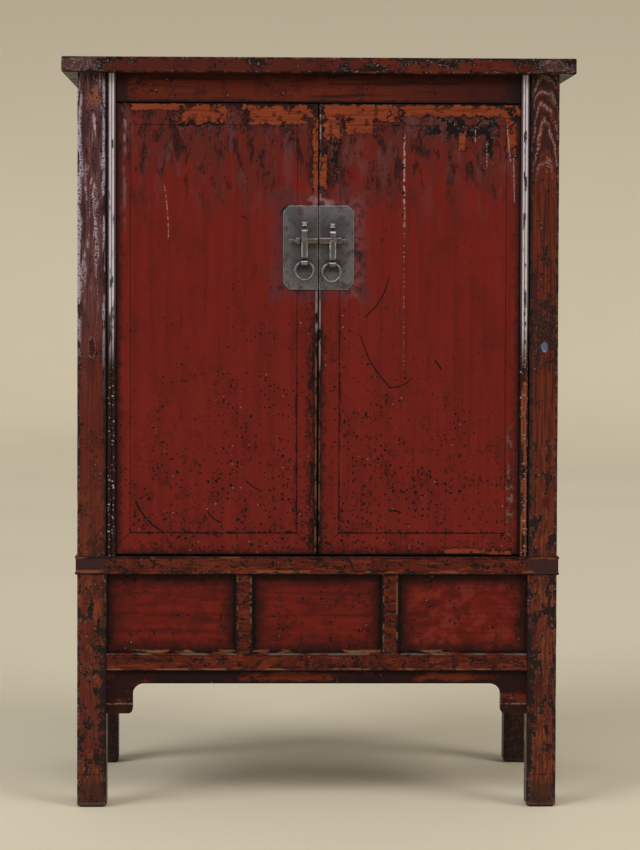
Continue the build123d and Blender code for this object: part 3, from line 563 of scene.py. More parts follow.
def mottled(p, seed, share, bare=(120, 57, 33), stretch=(1, 0.3), size=0.03, black=0.555):
    """Lacquer rubbed through in long patches: bare wood with its grain, and black blots."""
    place = (seed * 2.3, seed * 1.1, 0)
    field = p.noise(size, stretch, place, detail=5, rough=0.62, bend=0.25)
    wood = p.rise(field, 0.51, 0.545) * share
    p.lay(wood, bare, -0.2)
    grain = p.noise(0.0035, (1, 0.1) if stretch[1] < 1 else (0.1, 1), place, detail=3)
    p.lay(wood * p.rise(grain, 0.44, 0.58) * 0.8, tuple(c * 0.55 for c in bare), -0.2)
    rounder = tuple(0.4 + 0.6 * share for share in stretch)
    blots = p.noise(size * 0.6, rounder, (place[1], place[0], 0), detail=5, rough=0.68)
    p.lay(p.rise(blots, black, black + 0.03) * share * 0.95, BLACK, -0.5)
    rim = p.near(blots, black - 0.006, 0.005, 0.008) * p.rise(p.fine, 0.5, 0.6)
    p.lay(rim * share * 0.6, (150, 112, 92), 0.3)


def bar_edge(p, across, up):
    """Distance to the nearest long edge of a bar that runs along the third axis: the larger of
    its two distances to the planes that bound it. Each pair is (place, low, high)."""
    gaps = [p.least(abs(value - low), abs(value - high)) for value, low, high in (across, up)]
    return p.most(*gaps)


def post_finish():
    """Posts: wrinkled purple-brown and glossy above on the left, with a painted sheen and painted
    highlights there, grained red-brown on the right, mottled orange-brown with black patches on the
    legs, painted shade beside the rods and down the inner side of the legs, and nearly black behind."""
    p = Coat("post lacquer", (92, 36, 27))
    wide, deep = abs(p.x), abs(p.y)
    right = p.rise(p.x, -0.01, 0.01)
    left = 1 - right
    front = p.rise(p.y, 5 * MM - POST_FAR, MM - POST_FAR)
    drift = p.noise(0.07, (1, 0.4), (3, 2, 0), detail=4)
    high = p.rise(p.z + (drift - 0.5) * 0.3, 0.56, 0.82) * left
    # the upper left post lightened to purple-grey: its own colour, lifted further as a painted sheen
    p.lay(high * 0.9, (92, 60, 60))
    p.lay(right * p.rise(p.z, 0.36, 0.5) * 0.85, (98, 41, 24))
    grain = p.noise(0.0032, (1, 0.03), (1, 7, 0), detail=3)
    p.lay(p.rise(grain, 0.46, 0.62) * (right * 0.4 + 0.4), (46, 20, 15), -0.4)
    # arched grain at the top of the right post
    arch = p.z + (p.x - POST_MIDDLE) ** 2 * 95 + (drift - 0.5) * 0.16 + (p.wander - 0.5) * 0.03
    rings = p.maths("SINE", arch * 190.0)
    top = p.rise(p.z, 0.88, 0.94) * right
    p.lay(p.rise(p.z + (drift - 0.5) * 0.2, 0.93, 1.03) * right * 0.6, (62, 44, 42))
    p.lay(p.rise(rings, 0.1, -0.6) * top * 0.75, (27, 17, 16), -0.4)
    p.lay(p.near(rings, 0.8, 0.1, 0.15) * top * p.rise(p.fine, 0.42, 0.54) * 0.75, (146, 132, 130), 0.5)
    # long folds in the thick lacquer of the left post, with painted shade in their hollows and painted
    # highlights on their crests
    folds = p.noise(0.008, (1, 0.15), (5, 5, 0), detail=4, rough=0.6, bend=0.35)
    p.height = p.height + folds * high * 2.6
    p.lay(p.rise(folds, 0.47, 0.38) * high * 0.7, (40, 25, 28))
    crests = p.rise(folds, 0.54, 0.62) * p.rise(p.fine, 0.42, 0.54)
    p.lay(crests * high * p.rise(p.z, 0.66, 0.84, 0.15, 0.85), (166, 152, 160), 0.3)
    flake = p.from_spot(-0.318, 1.008, 3) + (p.wander - 0.5) * 0.07
    p.lay(p.rise(flake, 0.019, 0.012) * front * left, (122, 74, 60), -0.5)
    # rubbed through: the legs, the left post low down and a stretch of the right one
    leg = p.rise(p.z + (drift - 0.5) * 0.04, WAIST_LOW + 12.5 * MM, WAIST_LOW - 7.5 * MM)
    mid_left = p.rise(p.z, 0.52, 0.4) * left * 0.5
    low_right = p.near(p.z, 0.44, 0.07, 0.03) * right * 0.95
    bare = p.most(leg * 0.97, p.most(mid_left, low_right) * (1 - leg))
    mottled(p, 3.0, bare, (112, 53, 33), black=0.54)
    p.lay(p.rise(p.z + (p.wander - 0.5) * 0.02, 0.046, 0.03) * 0.8, (58, 36, 29))
    p.lay(p.near(p.z, 0.047, 0.0006, 0.0012) * p.rise(p.fine, 0.4, 0.55) * 0.8, BLACK, -0.4)
    aged(p, "z", 5.0, 0.75, 0.8)
    # dark blotches on the right post, the middle one with a pale chip
    for z, height in ((0.685, 0.04), (0.787, 0.009)):
        gap = p.from_spot(POST_MIDDLE + 2 * MM, z, 2) * (0.03 / height)
        dark = p.rise(gap + (p.wander - 0.5) * 0.16, 0.034, 0.028) * front * right
        p.lay(dark * p.rise(grain, 0.62, 0.4, 0.5, 0.9), (22, 13, 13), -0.5)
        p.lay(dark * p.rise(p.fine, 0.62, 0.7) * 0.4, (112, 98, 100), 0.3)
    chip = p.from_spot(POST_MIDDLE + 1.5 * MM, 0.657, 3.2) + (p.wander - 0.5) * 0.016
    chip = chip + (p.fine - 0.5) * 0.004
    chip = p.rise(chip, 0.0085, 0.0072) * front * right
    p.lay(chip, (84, 90, 112), -0.8)
    p.lay(chip * p.rise(p.wander, 0.5, 0.55), (148, 152, 168))
    # a long knot scar on the left post
    scar = p.from_spot(-POST_MIDDLE, 0.655, 9) + (p.wander - 0.5) * 0.012
    p.lay(p.rise(scar, 0.015, 0.012) * left * front, (56, 24, 24), -0.6)
    rim = p.near(scar, 0.0145, 0.001, 0.001) * p.rise(p.fine, 0.46, 0.56)
    p.lay(rim * left * front * 0.7, (128, 100, 104), 0.4)
    chipped(p, bar_edge(p, (wide, POST_IN, POST_OUT), (deep, POST_NEAR, POST_FAR)), 0.0044, 2.0)
    # painted shade down the inner side of the legs and, above the waist, beside the rods that stand in front
    # of the posts
    inward = wide - POST_IN
    shade = p.rise(inward + (p.wander - 0.5) * 0.05, 11.5 * MM, 6.5 * MM) * front
    shade = shade * p.rise(p.z + (drift - 0.5) * 0.2, 0.3, 0.24) * p.rise(p.z, 0.03, 0.07)
    p.lay(shade * 0.92, (24, 14, 13), -0.3)
    inner = p.rise(inward + (p.wander - 0.5) * 0.008, 8 * MM, 1.5 * MM) * p.rise(p.y, -0.15, -0.2)
    p.lay(inner * p.rise(p.z, 0.33, 0.37) * 0.85, (24, 15, 17))
    # the light caught on the outer arris and beside the rod
    lit = p.rise(wide, POST_OUT - 7.5 * MM, POST_OUT - 2 * MM)
    lit = (lit + p.near(inward, 4.5 * MM, 1.2 * MM, MM) * 0.8) * p.rise(p.z, 0.56, 0.74) * left * front
    p.lay(lit * p.rise(folds, 0.46, 0.54) * p.rise(p.fine, 0.3, 0.5) * 0.9, (166, 158, 172), 0.4)
    rear = p.rise(p.y, 0.1, 0.12)
    p.lay(rear * 0.82, (38, 25, 21))
    curls = p.near(p.wander, 0.53, 0.01, 0.012) * p.rise(p.fine, 0.44, 0.54)
    p.lay(rear * curls * 0.7, (94, 76, 80), 0.3)
    return p.done(depth=0.5 * MM, coat=0.15, specular=0.15)


def top_finish():
    """Top boards: dark red-brown along the length, rough black blots with pale grit, dark ends."""
    p = Coat("top lacquer", (76, 32, 25))
    ends = p.rise(abs(p.x), END_JOINT - 2 * MM, END_JOINT + MM)
    warm = p.rise(p.noise(0.05, (0.25, 1, 1), (2, 0, 5)), 0.48, 0.62)
    p.lay(warm * 0.6, (94, 38, 26))
    p.lay(ends * 0.85, (80, 56, 55))
    flecks = p.near(p.wander, 0.52, 0.012, 0.014) * p.rise(p.fine, 0.48, 0.56)
    p.lay(ends * flecks * 0.8, (146, 134, 136), 0.3)
    p.lay(ends * p.rise(p.wander, 0.6, 0.66) * 0.7, (34, 24, 24), -0.3)
    rough_part = p.rise(p.x, -0.14, 0.02) * 0.05
    field = p.noise(0.024, (0.5, 1, 1), (1, 3, 0), detail=5, rough=0.66) + rough_part + ends * 0.04
    blots = p.rise(field, 0.545, 0.59)
    skin, under = TOP_HIGH - 0.2 * MM, TOP_HIGH - 1.5 * MM
    p.lay(blots * p.rise(p.z, skin, under, 0.45, 0.92), (24, 15, 13), -0.6)
    aged(p, "top", 9.0, 0.75, 0.7)
    grit = p.near(field, 0.6, 0.012, 0.01) * p.rise(p.fine, 0.56, 0.62)
    p.lay(grit * 0.7, (126, 116, 106), 0.5)
    sand = p.dots(0.0062, 0.5, 0.2, blots * 0.8, p.fine, shift=(5, 5, 0))
    p.lay(sand * 0.8, (120, 110, 102), 0.4)
    # the upper face has been used and dusted: worn matt and browner
    above = p.rise(p.z, under, skin)
    worn = p.rise(p.noise(0.07, (0.4, 1, 1), (6, 2, 0), detail=5), 0.42, 0.62)
    p.lay(above * worn * 0.6, (98, 52, 36), -0.3)
    p.lay(above * p.near(abs(p.y), BOARD_JOINT, 0.4 * MM, 0.8 * MM), BLACK, -0.8)
    p.lay(p.near(abs(p.x), END_JOINT, 0.3 * MM, 0.5 * MM) * 0.6, BLACK, -0.6)
    out = p.least(abs(abs(p.y) - TOP_FRONT), abs(abs(p.x) - TOP_SIDE))
    level = p.least(abs(p.z - TOP_LOW), abs(p.z - TOP_HIGH))
    chipped(p, p.most(out, level), 0.0032, 6.0, (90, 44, 30), 0.95)
    return p.done(depth=0.4 * MM, coat=0.05, specular=0.12)


def rail_finish():
    """Lintel, waist, rails, muntins and aprons: brown-red, black along every edge, much of it painted
    shade where they meet other parts, with orange rubbed streaks and painted highlights on upper
    crests; the waist is dark and purple over the posts and the aprons are darkest."""
    p = Coat("rail lacquer", (84, 31, 22))
    wide = abs(p.x)
    side = p.rise(wide, 0.31, 0.315)
    lintel = p.rise(p.z, 0.99, 1.0)
    waist = p.between(p.z, WAIST_LOW, WAIST_HIGH, 0.5 * MM)
    apron = p.rise(p.z, RAIL_LOW + MM, RAIL_LOW - 0.5 * MM)
    low = (1 - lintel) * (1 - apron)
    lines = p.noise(0.006, (0.05, 0.05, 1), (1, 2, 3), detail=4, rough=0.65)
    warm = p.rise(p.noise(0.04, (0.12, 1), (2, 0, 0), detail=4), 0.46, 0.6)
    p.lay(lintel * warm * 0.8, (94, 38, 22))
    # painted shade: the lintel darker towards the right, where the light is weaker
    p.lay(lintel * p.rise(p.x, 0.0, 0.28) * 0.75, (46, 20, 15))
    # painted shadow of the top's overhang along the lintel's upper edge, painted shade at its foot above the
    # doors and at its ends beside the rods
    p.lay(lintel * p.ragged(TOP_LOW + MM - p.z, 0.008) * 0.7, GRIME_AND_SHADE)
    p.lay(lintel * p.ragged(p.z - LINTEL_LOW, 0.0035) * 0.9, BLACK)
    p.lay(lintel * p.ragged(LEAF_SIDE - wide, 0.028, 1.6) * (1 - side) * 0.85, (30, 16, 14))
    rubbed = p.rise(p.noise(0.03, (0.2, 1), (3, 0, 0), detail=4), 0.5, 0.6)
    p.lay(waist * rubbed * 0.6, (92, 42, 27))
    p.lay(p.rise(lines, 0.5, 0.64) * 0.8, (34, 17, 14), -0.3)
    # aprons and brackets
    p.lay(apron * 0.95, (34, 17, 14))
    flame = p.noise(0.03, (0.35, 1), (0, 4, 0), detail=4, rough=0.6)
    p.lay(apron * p.rise(flame, 0.5, 0.58) * 0.9, (68, 25, 20))
    p.lay(apron * p.rise(flame, 0.585, 0.62) * 0.7, (100, 44, 29))
    step = BRACKET_LOW + 14 * MM
    p.lay(p.rise(p.z, step + 2.5 * MM, step + 0.5 * MM) * 0.85, (36, 22, 17), -0.5)
    p.lay(p.near(p.z, step, 0.7 * MM, 0.8 * MM) * p.rise(p.fine, 0.38, 0.5) * 0.9, (118, 98, 84))
    p.lay(apron * p.ragged(p.z - APRON_LOW - 0.5 * MM, 0.005) * p.rise(wide, 0.245, 0.235) * 0.9, BLACK)
    # painted shadow under the lower rail, where the apron is set back
    p.lay(apron * p.ragged(RAIL_LOW - p.z, 0.003) * 0.9, BLACK)
    mottled(p, 6.0, low * (1 - side * 0.4) * 0.85, (106, 44, 28), (0.35, 1), 0.014, 0.55)
    aged(p, "x", 14.0, 0.6, 0.7, (42, 19, 15))
    p.lay(waist * p.rise(wide, POST_IN - 7.5 * MM, POST_IN + 6.5 * MM) * 0.8, (50, 35, 36))
    # dark lines along the waist and the rails, painted shade where they meet the parts beside them, and
    # rubbed crests of the beads; the upper ones also take painted highlights
    p.lay(waist * p.ragged(WAIST_HIGH + 0.5 * MM - p.z, 0.0034) * 0.85, BLACK, -0.3)
    p.lay(waist * p.ragged(p.z - WAIST_LOW, 0.0022) * 0.85, BLACK, -0.3)
    scuff_and_gleam = p.noise(0.014, (0.35, 1), (1, 8, 0), detail=4, rough=0.6)
    crest = waist * p.near(p.z, WAIST_LOW + 4.7 * MM, 1.2 * MM, 1.4 * MM)
    p.lay(crest * p.rise(scuff_and_gleam, 0.55, 0.61) * 0.85, (122, 68, 44), 0.2)
    # the upper crest of the waist: rubbed wood with a painted highlight where the light catches it
    crest = waist * p.near(p.z, WAIST_HIGH - 2.8 * MM, MM, 1.2 * MM)
    p.lay(crest * p.rise(scuff_and_gleam, 0.6, 0.64) * 0.8, (118, 70, 44), 0.2)
    rail = p.between(p.z, RAIL_LOW, RAIL_HIGH, 0.5 * MM)
    p.lay(rail * p.ragged(p.z - RAIL_LOW, 0.0024) * 0.8, BLACK)
    # a painted highlight along the lower rail's upper arris, where the light catches it
    arris = rail * p.rise(p.z, RAIL_HIGH - 2.3 * MM, RAIL_HIGH - 1.3 * MM)
    p.lay(arris * p.rise(scuff_and_gleam, 0.44, 0.56) * 0.8, (98, 90, 80), 0.3)
    arris = rail * p.near(p.z, RAIL_LOW + 2.5 * MM, 0.8 * MM, MM)
    p.lay(arris * p.rise(scuff_and_gleam, 0.54, 0.6) * 0.8, (118, 74, 50), 0.2)
    upright = p.between(p.z, RAIL_HIGH, WAIST_LOW, 0.3 * MM) * (1 - side)
    flank = p.least(abs(wide - MUNTIN_IN), abs(wide - MUNTIN_OUT))
    # painted shade along the muntins' edges beside the sunk panels
    p.lay(upright * p.ragged(flank, 0.0042) * 0.92, BLACK)
    p.lay(upright * p.near(flank, 0.003, 0.0005, 0.001) * p.rise(scuff_and_gleam, 0.52, 0.58) * 0.8, (122, 84, 62), 0.2)
    return p.done(depth=0.4 * MM, coat=0.05, specular=0.13)


def panel_finish():
    """Lower panels: deep red, brushed level, worn, and dark all round the edge of each with painted shade in
    the recess.
    """
    p = Coat("panel lacquer", (98, 30, 24))
    brushed = p.noise(0.008, (0.08, 1), (0, 1, 0), detail=5, rough=0.65)
    p.lay(p.rise(brushed, 0.5, 0.66) * 0.4, (112, 37, 29))
    p.lay(p.rise(brushed, 0.5, 0.36) * 0.5, (66, 23, 19))
    scuffed = p.noise(0.026, (0.8, 1), (7, 1, 0), detail=5, rough=0.6)
    p.lay(p.rise(scuffed, 0.52, 0.56) * p.rise(p.x, 0.1, 0.16) * 0.65, (116, 44, 37), 0.3)
    p.lay(p.rise(scuffed, 0.46, 0.4) * 0.45, (64, 24, 18))
    wide = abs(p.x)
    cell = p.least(p.least(abs(wide - MUNTIN_IN), abs(wide - MUNTIN_OUT)), abs(wide - POST_IN))
    rim = p.least(cell, p.least(abs(p.z - RAIL_HIGH), abs(p.z - WAIST_LOW)))
    # painted shade round the edge of each sunk panel, darkest against the frame
    p.lay(p.rise(rim + (p.wander - 0.5) * 0.03, 0.026, 0.003) * 0.85, (40, 18, 15))
    p.lay(p.ragged(rim, 0.0045, 2.0) * 0.9, (20, 11, 10))
    aged(p, "x", 21.0, 0.6, 0.6)
    scraped = p.noise(0.016, (0.28, 1), (4, 0, 0), detail=4, rough=0.6)
    foot = p.rise(p.z + (scraped - 0.5) * 0.012, RAIL_HIGH + 6.7 * MM, RAIL_HIGH + 4.5 * MM)
    p.lay(foot * p.rise(scraped, 0.47, 0.5), GRIME_AND_SHADE)
    p.lay(foot * p.rise(scraped, 0.51, 0.54) * 0.9, (120, 66, 42), -0.4)
    # a painted highlight along the foot of each panel
    p.lay(foot * p.rise(scraped, 0.58, 0.6) * 0.6, (120, 104, 74))
    return p.done(depth=0.35 * MM, coat=0.05, specular=0.13)


def side_finish():
    """Side panels: the doors' red, duller, with a few long cracks and painted shade round their edges."""
    p = Coat("side lacquer", (92, 31, 25))
    tone = p.noise(0.05, (1, 0.2), (3, 3, 0), detail=5, rough=0.6)
    p.lay(p.rise(tone, 0.5, 0.62) * 0.8, (60, 26, 21))
    p.lay(p.rise(tone, 0.46, 0.36) * 0.5, (110, 38, 29))
    # painted shade round the edge of the sunk panel, against the posts, the waist and the lintel
    rim = p.least(abs(abs(p.y) - POST_NEAR), p.least(abs(p.z - WAIST_HIGH), abs(p.z - LINTEL_LOW)))
    p.lay(p.rise(rim + (p.wander - 0.5) * 0.03, 0.026, 0.002) * 0.8, (36, 19, 16))
    p.lay(p.ragged(rim, 0.005, 2.0) * 0.9, BLACK)
    crack = p.y + 0.052 + (p.noise(0.1, (1, 0.5)) - 0.5) * 0.01
    p.lay(p.near(crack, 0.0, 0.0003, 0.0006), BLACK, -1.0)
    mottled(p, 12.0, p.rise(p.noise(0.12, (1, 1), (8, 1, 0)), 0.56, 0.64) * 0.9, (100, 50, 32))
    aged(p, "z", 25.0, 0.55, 0.4)
    drips = p.rise(p.noise(0.016, (1, 0.3), (8, 4, 0), detail=5, rough=0.68), 0.56, 0.62)
    p.lay(drips * p.rise(p.z, 0.82, 1.0) * 0.8, (40, 22, 19), -0.4)
    # the inner face is bare wood
    inside = p.rise(abs(p.x), 0.3268, 0.3256)
    p.lay(inside * 0.96, (84, 61, 44))
    grain = p.rise(p.noise(0.006, (1, 0.07), (5, 5, 0), detail=4), 0.46, 0.66)
    p.lay(inside * grain * 0.7, (56, 39, 29), -0.3)
    return p.done(depth=0.35 * MM, coat=0.05, specular=0.13)


def inner_finish():
    """Bare wood inside, at the back and under the top: grey-brown, grained and dusty."""
    p = Coat("inner wood", (92, 66, 46))
    upright = p.rise(abs(p.y), 0.17, 0.18)
    across = p.noise(0.006, (0.07, 1, 1), (2, 2, 0), detail=4)
    along = p.noise(0.006, (1, 0.07), (5, 5, 0), detail=4)
    p.lay(p.rise(along, 0.46, 0.66) * upright * 0.7, (60, 41, 29), -0.4)
    p.lay(p.rise(across, 0.46, 0.66) * (1 - upright) * 0.7, (60, 41, 29), -0.4)
    p.lay(p.rise(p.noise(0.12, (1, 1), (1, 0, 0), detail=4), 0.5, 0.7) * 0.5, (72, 49, 36))
    p.lay(p.dots(0.16, 0.5, 0.07, 1.0, p.fine, (1, 0.6)) * 0.8, (44, 27, 19), 0.3)
    p.lay(p.dots(0.012, 0.3, 0.14), (30, 20, 15), -0.8)
    return p.done(0.8, 0.65, depth=0.3 * MM, specular=0.2)


def stroke(p, line):
    """1 along a scratch (from x, from z, to x, to z, half width, bow), with blunt ends: the bow is
    how far its middle stands off the straight line."""
    ax, az, bx, bz, half, bow = line
    length = math.hypot(bx - ax, bz - az)
    ux, uz = (bx - ax) / length, (bz - az) / length
    run = p.run(ux, uz, ax * ux + az * uz + length / 2)
    side = p.run(-uz, ux, az * ux - ax * uz + bow)
    if bow:
        side = p.maths("MULTIPLY_ADD", run * run, 4 * bow / length ** 2, side)
    return p.rise(abs(side) + p.most(abs(run) - length / 2, 0.0), half, half * 0.5)


def meets(zone, place, room=0.012):
    """Whether a place (low x, high x, low z, high z) may reach into a zone of a leaf."""
    near_x, far_x = sorted((abs(place[0]), abs(place[1])))
    if place[0] < 0 < place[1]:
        near_x = 0.0
    return (
        near_x - room < zone[1] and far_x + room > zone[0]
        and place[2] - room < zone[3] and place[3] + room > zone[2]
    )


def strokes(p, lines, zone):
    """The scratches that cross a zone, together."""
    crossing = []
    for line in lines:
        ax, az, bx, bz = line[:4]
        if meets(zone, (min(ax, bx), max(ax, bx), min(az, bz), max(az, bz)), 0.004):
            crossing.append(stroke(p, line))
    return p.largest(crossing)


# the five pieces of a leaf: lowest and highest distance from the seam, lowest and highest z
DOOR_ZONES = {
    "panel": (STILE, HINGE, FOOT_RAIL, HEAD_RAIL),
    "top_rail": (SEAM, LEAF_SIDE, HEAD_RAIL, LEAF_HIGH),
    "bottom_rail": (SEAM, LEAF_SIDE, LEAF_LOW, FOOT_RAIL),
    "meeting_stile": (SEAM, STILE, LEAF_LOW, LEAF_HIGH),
    "hinge_stile": (HINGE, ROD_OUT, LEAF_LOW, LEAF_HIGH),
}
# lacquer gone from the doors: middle x and z, half width and half height of each place
WORN_PLACES = [
    (-0.227, 0.996, 0.046, 0.0045), (-0.165, 0.986, 0.036, 0.0135), (-0.057, 0.985, 0.048, 0.014),
    (-0.004, 0.929, 0.005, 0.05), (0.055, 0.989, 0.053, 0.012), (0.019, 0.966, 0.013, 0.017),
    (0.0575, 0.97, 0.019, 0.012), (0.191, 0.9915, 0.097, 0.0085), (0.273, 0.953, 0.0075, 0.026),
    (0.203, 0.949, 0.005, 0.0135), (0.0065, 0.904, 0.005, 0.026), (0.215, 0.3665, 0.035, 0.0035),
    (-0.004, 0.865, 0.003, 0.03), (0.262, 0.364, 0.018, 0.003),
]
DARK_SCRATCHES = [
    (-0.2584, 0.4365, -0.2195, 0.393, 0.0018, -0.005), (0.1, 0.755, 0.0662, 0.6991, 0.0012, 0.006),
    (0.0609, 0.6718, 0.103, 0.599, 0.0012, -0.006), (0.103, 0.599, 0.1352, 0.6144, 0.0009, -0.004),
    (0.1664, 0.6379, 0.1755, 0.625, 0.0016, 0.0), (-0.157, 0.424, -0.137, 0.407, 0.0012, -0.003),
    (-0.103, 0.468, -0.079, 0.451, 0.0011, -0.002), (0.102, 0.424, 0.119, 0.421, 0.0014, 0.001),
    (-0.11, 0.842, -0.101, 0.838, 0.0009, 0.0),
]
PALE_SCRATCHES = [
    (-0.2185, 0.885, -0.2126, 0.81, 0.001, 0.0015), (0.222, 0.966, 0.222, 0.948, 0.0011, 0.0),
    (0.238, 0.946, 0.2385, 0.912, 0.0011, 0.0), (0.2665, 0.975, 0.272, 0.921, 0.0014, 0.0),
    (0.2765, 0.925, 0.278, 0.862, 0.0011, 0.0),
]
# dark spots: x, z and half height
DARK_SPOTS = [(0.0687, 0.561, 0.0032), (0.0285, 0.556, 0.0036), (0.0905, 0.571, 0.0022)]
# crust under the worn band: x, its reach and blur, z, its reach and blur, how far x wanders
CRUSTS = [
    (0.205, 0.04, 0.03, 0.968, 0.008, 0.018, 0), (0.243, 0.003, 0.01, 0.945, 0.02, 0.04, 0.03),
    (0.026, 0.003, 0.006, 0.935, 0.03, 0.03, 0.03),
]
# mitres: how far x and z count, the place of the line, the share that shows, whether at the hinge
MITRES = [
    (0.684, 0.7296, 0.4679, 0.9, True), (0.684, -0.7296, -0.5262, 0.3, True),
    (0.719, -0.695, -0.2505, 0.9, False), (0.719, 0.695, 0.6964, 0.3, False),
]
POCKED_LINE = 0.1214  # x of the old joint that shows on the right leaf


def browned(p, cloud, torn):
    """The upper part of a leaf: browned, with drips, grey bloom and a broken black lip."""
    brown = p.rise(p.z + (cloud - 0.5) * 0.3, 0.845, 0.97)
    p.lay(brown * 0.8, (80, 36, 32))
    drips = p.noise(0.015, (1, 0.36), (8, 0, 0), detail=6, rough=0.7)
    smudge = p.rise(drips + brown * 0.06, 0.55, 0.65) * p.rise(p.z, 0.82, 0.92)
    p.lay(smudge * (p.rise(p.fine, 0.34, 0.56) * 0.5 + 0.45), (34, 19, 16), -0.4)
    grey = p.rise(p.noise(0.02, (1, 0.3), (1, 9, 0), detail=5, rough=0.7), 0.52, 0.64)
    p.lay(grey * p.rise(p.z, 0.8, 0.95) * 0.45, (94, 62, 62))
    lip = p.near(p.z + (p.wander - 0.5) * 0.05, 0.966, 0.003, 0.006) * p.near(p.wide, 0.15, 0.12, 0.01)
    lip = lip * p.rise(p.fine, 0.4, 0.52) * p.rise(torn, 0.48, 0.56)
    p.lay(lip * 0.75, BLACK, -0.6)


def pecked(p, cloud, cracked):
    """Worm holes, pecks and short cracks, thick in the lower parts and beside the seam."""
    low = p.rise(p.z + (p.noise(0.08, (1, 1), (3, 8, 0), detail=2) - 0.5) * 0.5, 0.8, 0.42)
    where = p.rise(cloud, 0.36, 0.6) * 0.3 + low * 0.38 + p.rise(p.wide, 0.2, 0.03, 0.36, 0.56)
    where = p.least(where, 1.0)
    holes = p.dots(0.0066, 0.6, 0.27, where, p.fine, shift=(2, 9, 0))
    holes = p.most(holes, p.dots(0.0042, 0.62, 0.24, where * 0.7, p.fine, shift=(6, 3, 0)) * 0.9)
    if cracked:
        holes = p.most(holes, p.dots(0.0105, 0.62, 0.25, where * low * 0.97, p.fine, shift=(9, 9, 0)))
        cracks = p.noise(0.009, (1, 0.6), (2, 7, 0), detail=4, rough=0.62, bend=0.4)
        torn_up = p.rise(p.noise(0.022, (1, 1), (5, 5, 0)), 0.56, 0.6) * low
        holes = p.most(holes, p.near(cracks, 0.5, 0.009, 0.008) * torn_up)
    p.lay(holes, BLACK, -0.9)
    p.lay(p.dots(0.012, 0.26, 0.1, where, shift=(4, 4, 0)), (146, 122, 114), 0.4)


def crusted(p):
    """Thick black crust with grit under the worn band, and its runs."""
    crust = p.noise(0.011, (1, 0.8), (9, 1, 0), detail=4, rough=0.6)
    places = []
    for x, wide, soft_x, z, tall, soft_z, drift in CRUSTS:
        across = p.x + (crust - 0.5) * drift if drift else p.x
        places.append(p.near(across, x, wide, soft_x) * p.near(p.z, z, tall, soft_z))
    place = p.largest(places)
    field = crust + place * 0.1
    p.lay(p.rise(field, 0.56, 0.6) * place, (22, 13, 11), 0.6)
    grit = p.near(field, 0.59, 0.008, 0.01) * place * p.rise(p.fine, 0.5, 0.58)
    p.lay(grit * 0.55, (150, 136, 128), 0.4)


def margins(p):
    """Dark and rubbed margins of a leaf: painted shade along its edges and beside the rod, and ragged rubbed
    grime.
    """
    level = p.least(p.z - LEAF_LOW, LEAF_HIGH - p.z)
    margin = p.least(level, p.least(p.wide - SEAM, LEAF_SIDE - p.wide))
    # painted shade along the leaf's edges and beside its rod
    p.lay(p.rise(margin + (p.wander - 0.5) * 0.03, 0.014, 0.0) * 0.8, (46, 21, 18), -0.2)
    p.lay(p.ragged(margin, 0.0025, 3.0) * 0.85, GRIME_AND_SHADE, -0.4)
    p.lay(p.rise(p.wide, LEAF_SIDE - 9 * MM, LEAF_SIDE - 0.5 * MM) * 0.75, (44, 22, 22))


def seam_wear(p, torn):
    """Beside the seam: black and bitten low down, pale where the bare arrises catch the light."""
    seam = p.rise(p.wide + (torn - 0.5) * 0.05, 0.021, 0.013)
    reach = p.rise(p.z, 0.72, 0.66) * p.rise(p.x, 0.012, -0.004) + p.near(p.z, 0.91, 0.07, 0.02) * 0.8
    p.lay(seam * p.rise(torn, 0.44, 0.52) * p.least(reach, 1.0) * 0.92, BLACK, -0.6)
    bite = p.rise(p.wide + (torn - 0.5) * 0.02, 0.006, 0.003) * p.rise(p.z, 0.72, 0.68)
    p.lay(bite * 0.85, BLACK, -0.6)
    strip = p.near(p.x, 0.0022, 0.0009, 0.0007)
    p.lay(strip * p.rise(p.z, 0.58, 0.66) * p.rise(torn, 0.36, 0.48) * 0.85, (132, 114, 110), 0.3)
    p.lay(strip * p.rise(p.z, 0.6, 0.52) * p.rise(torn, 0.46, 0.52) * 0.8, (98, 58, 42))
    pale_edge = p.near(p.x, -0.0026, 0.0013, 0.0006) * p.near(p.z, 0.712, 0.026, 0.012)
    p.lay(pale_edge * p.rise(torn, 0.36, 0.44) * 0.85, (142, 118, 114), 0.3)
    lit = p.near(p.x, -0.0032, 0.0009, 0.0008) * p.rise(p.z, 0.69, 0.66)
    p.lay(lit * p.rise(torn, 0.48, 0.52) * 0.8, (116, 66, 42))


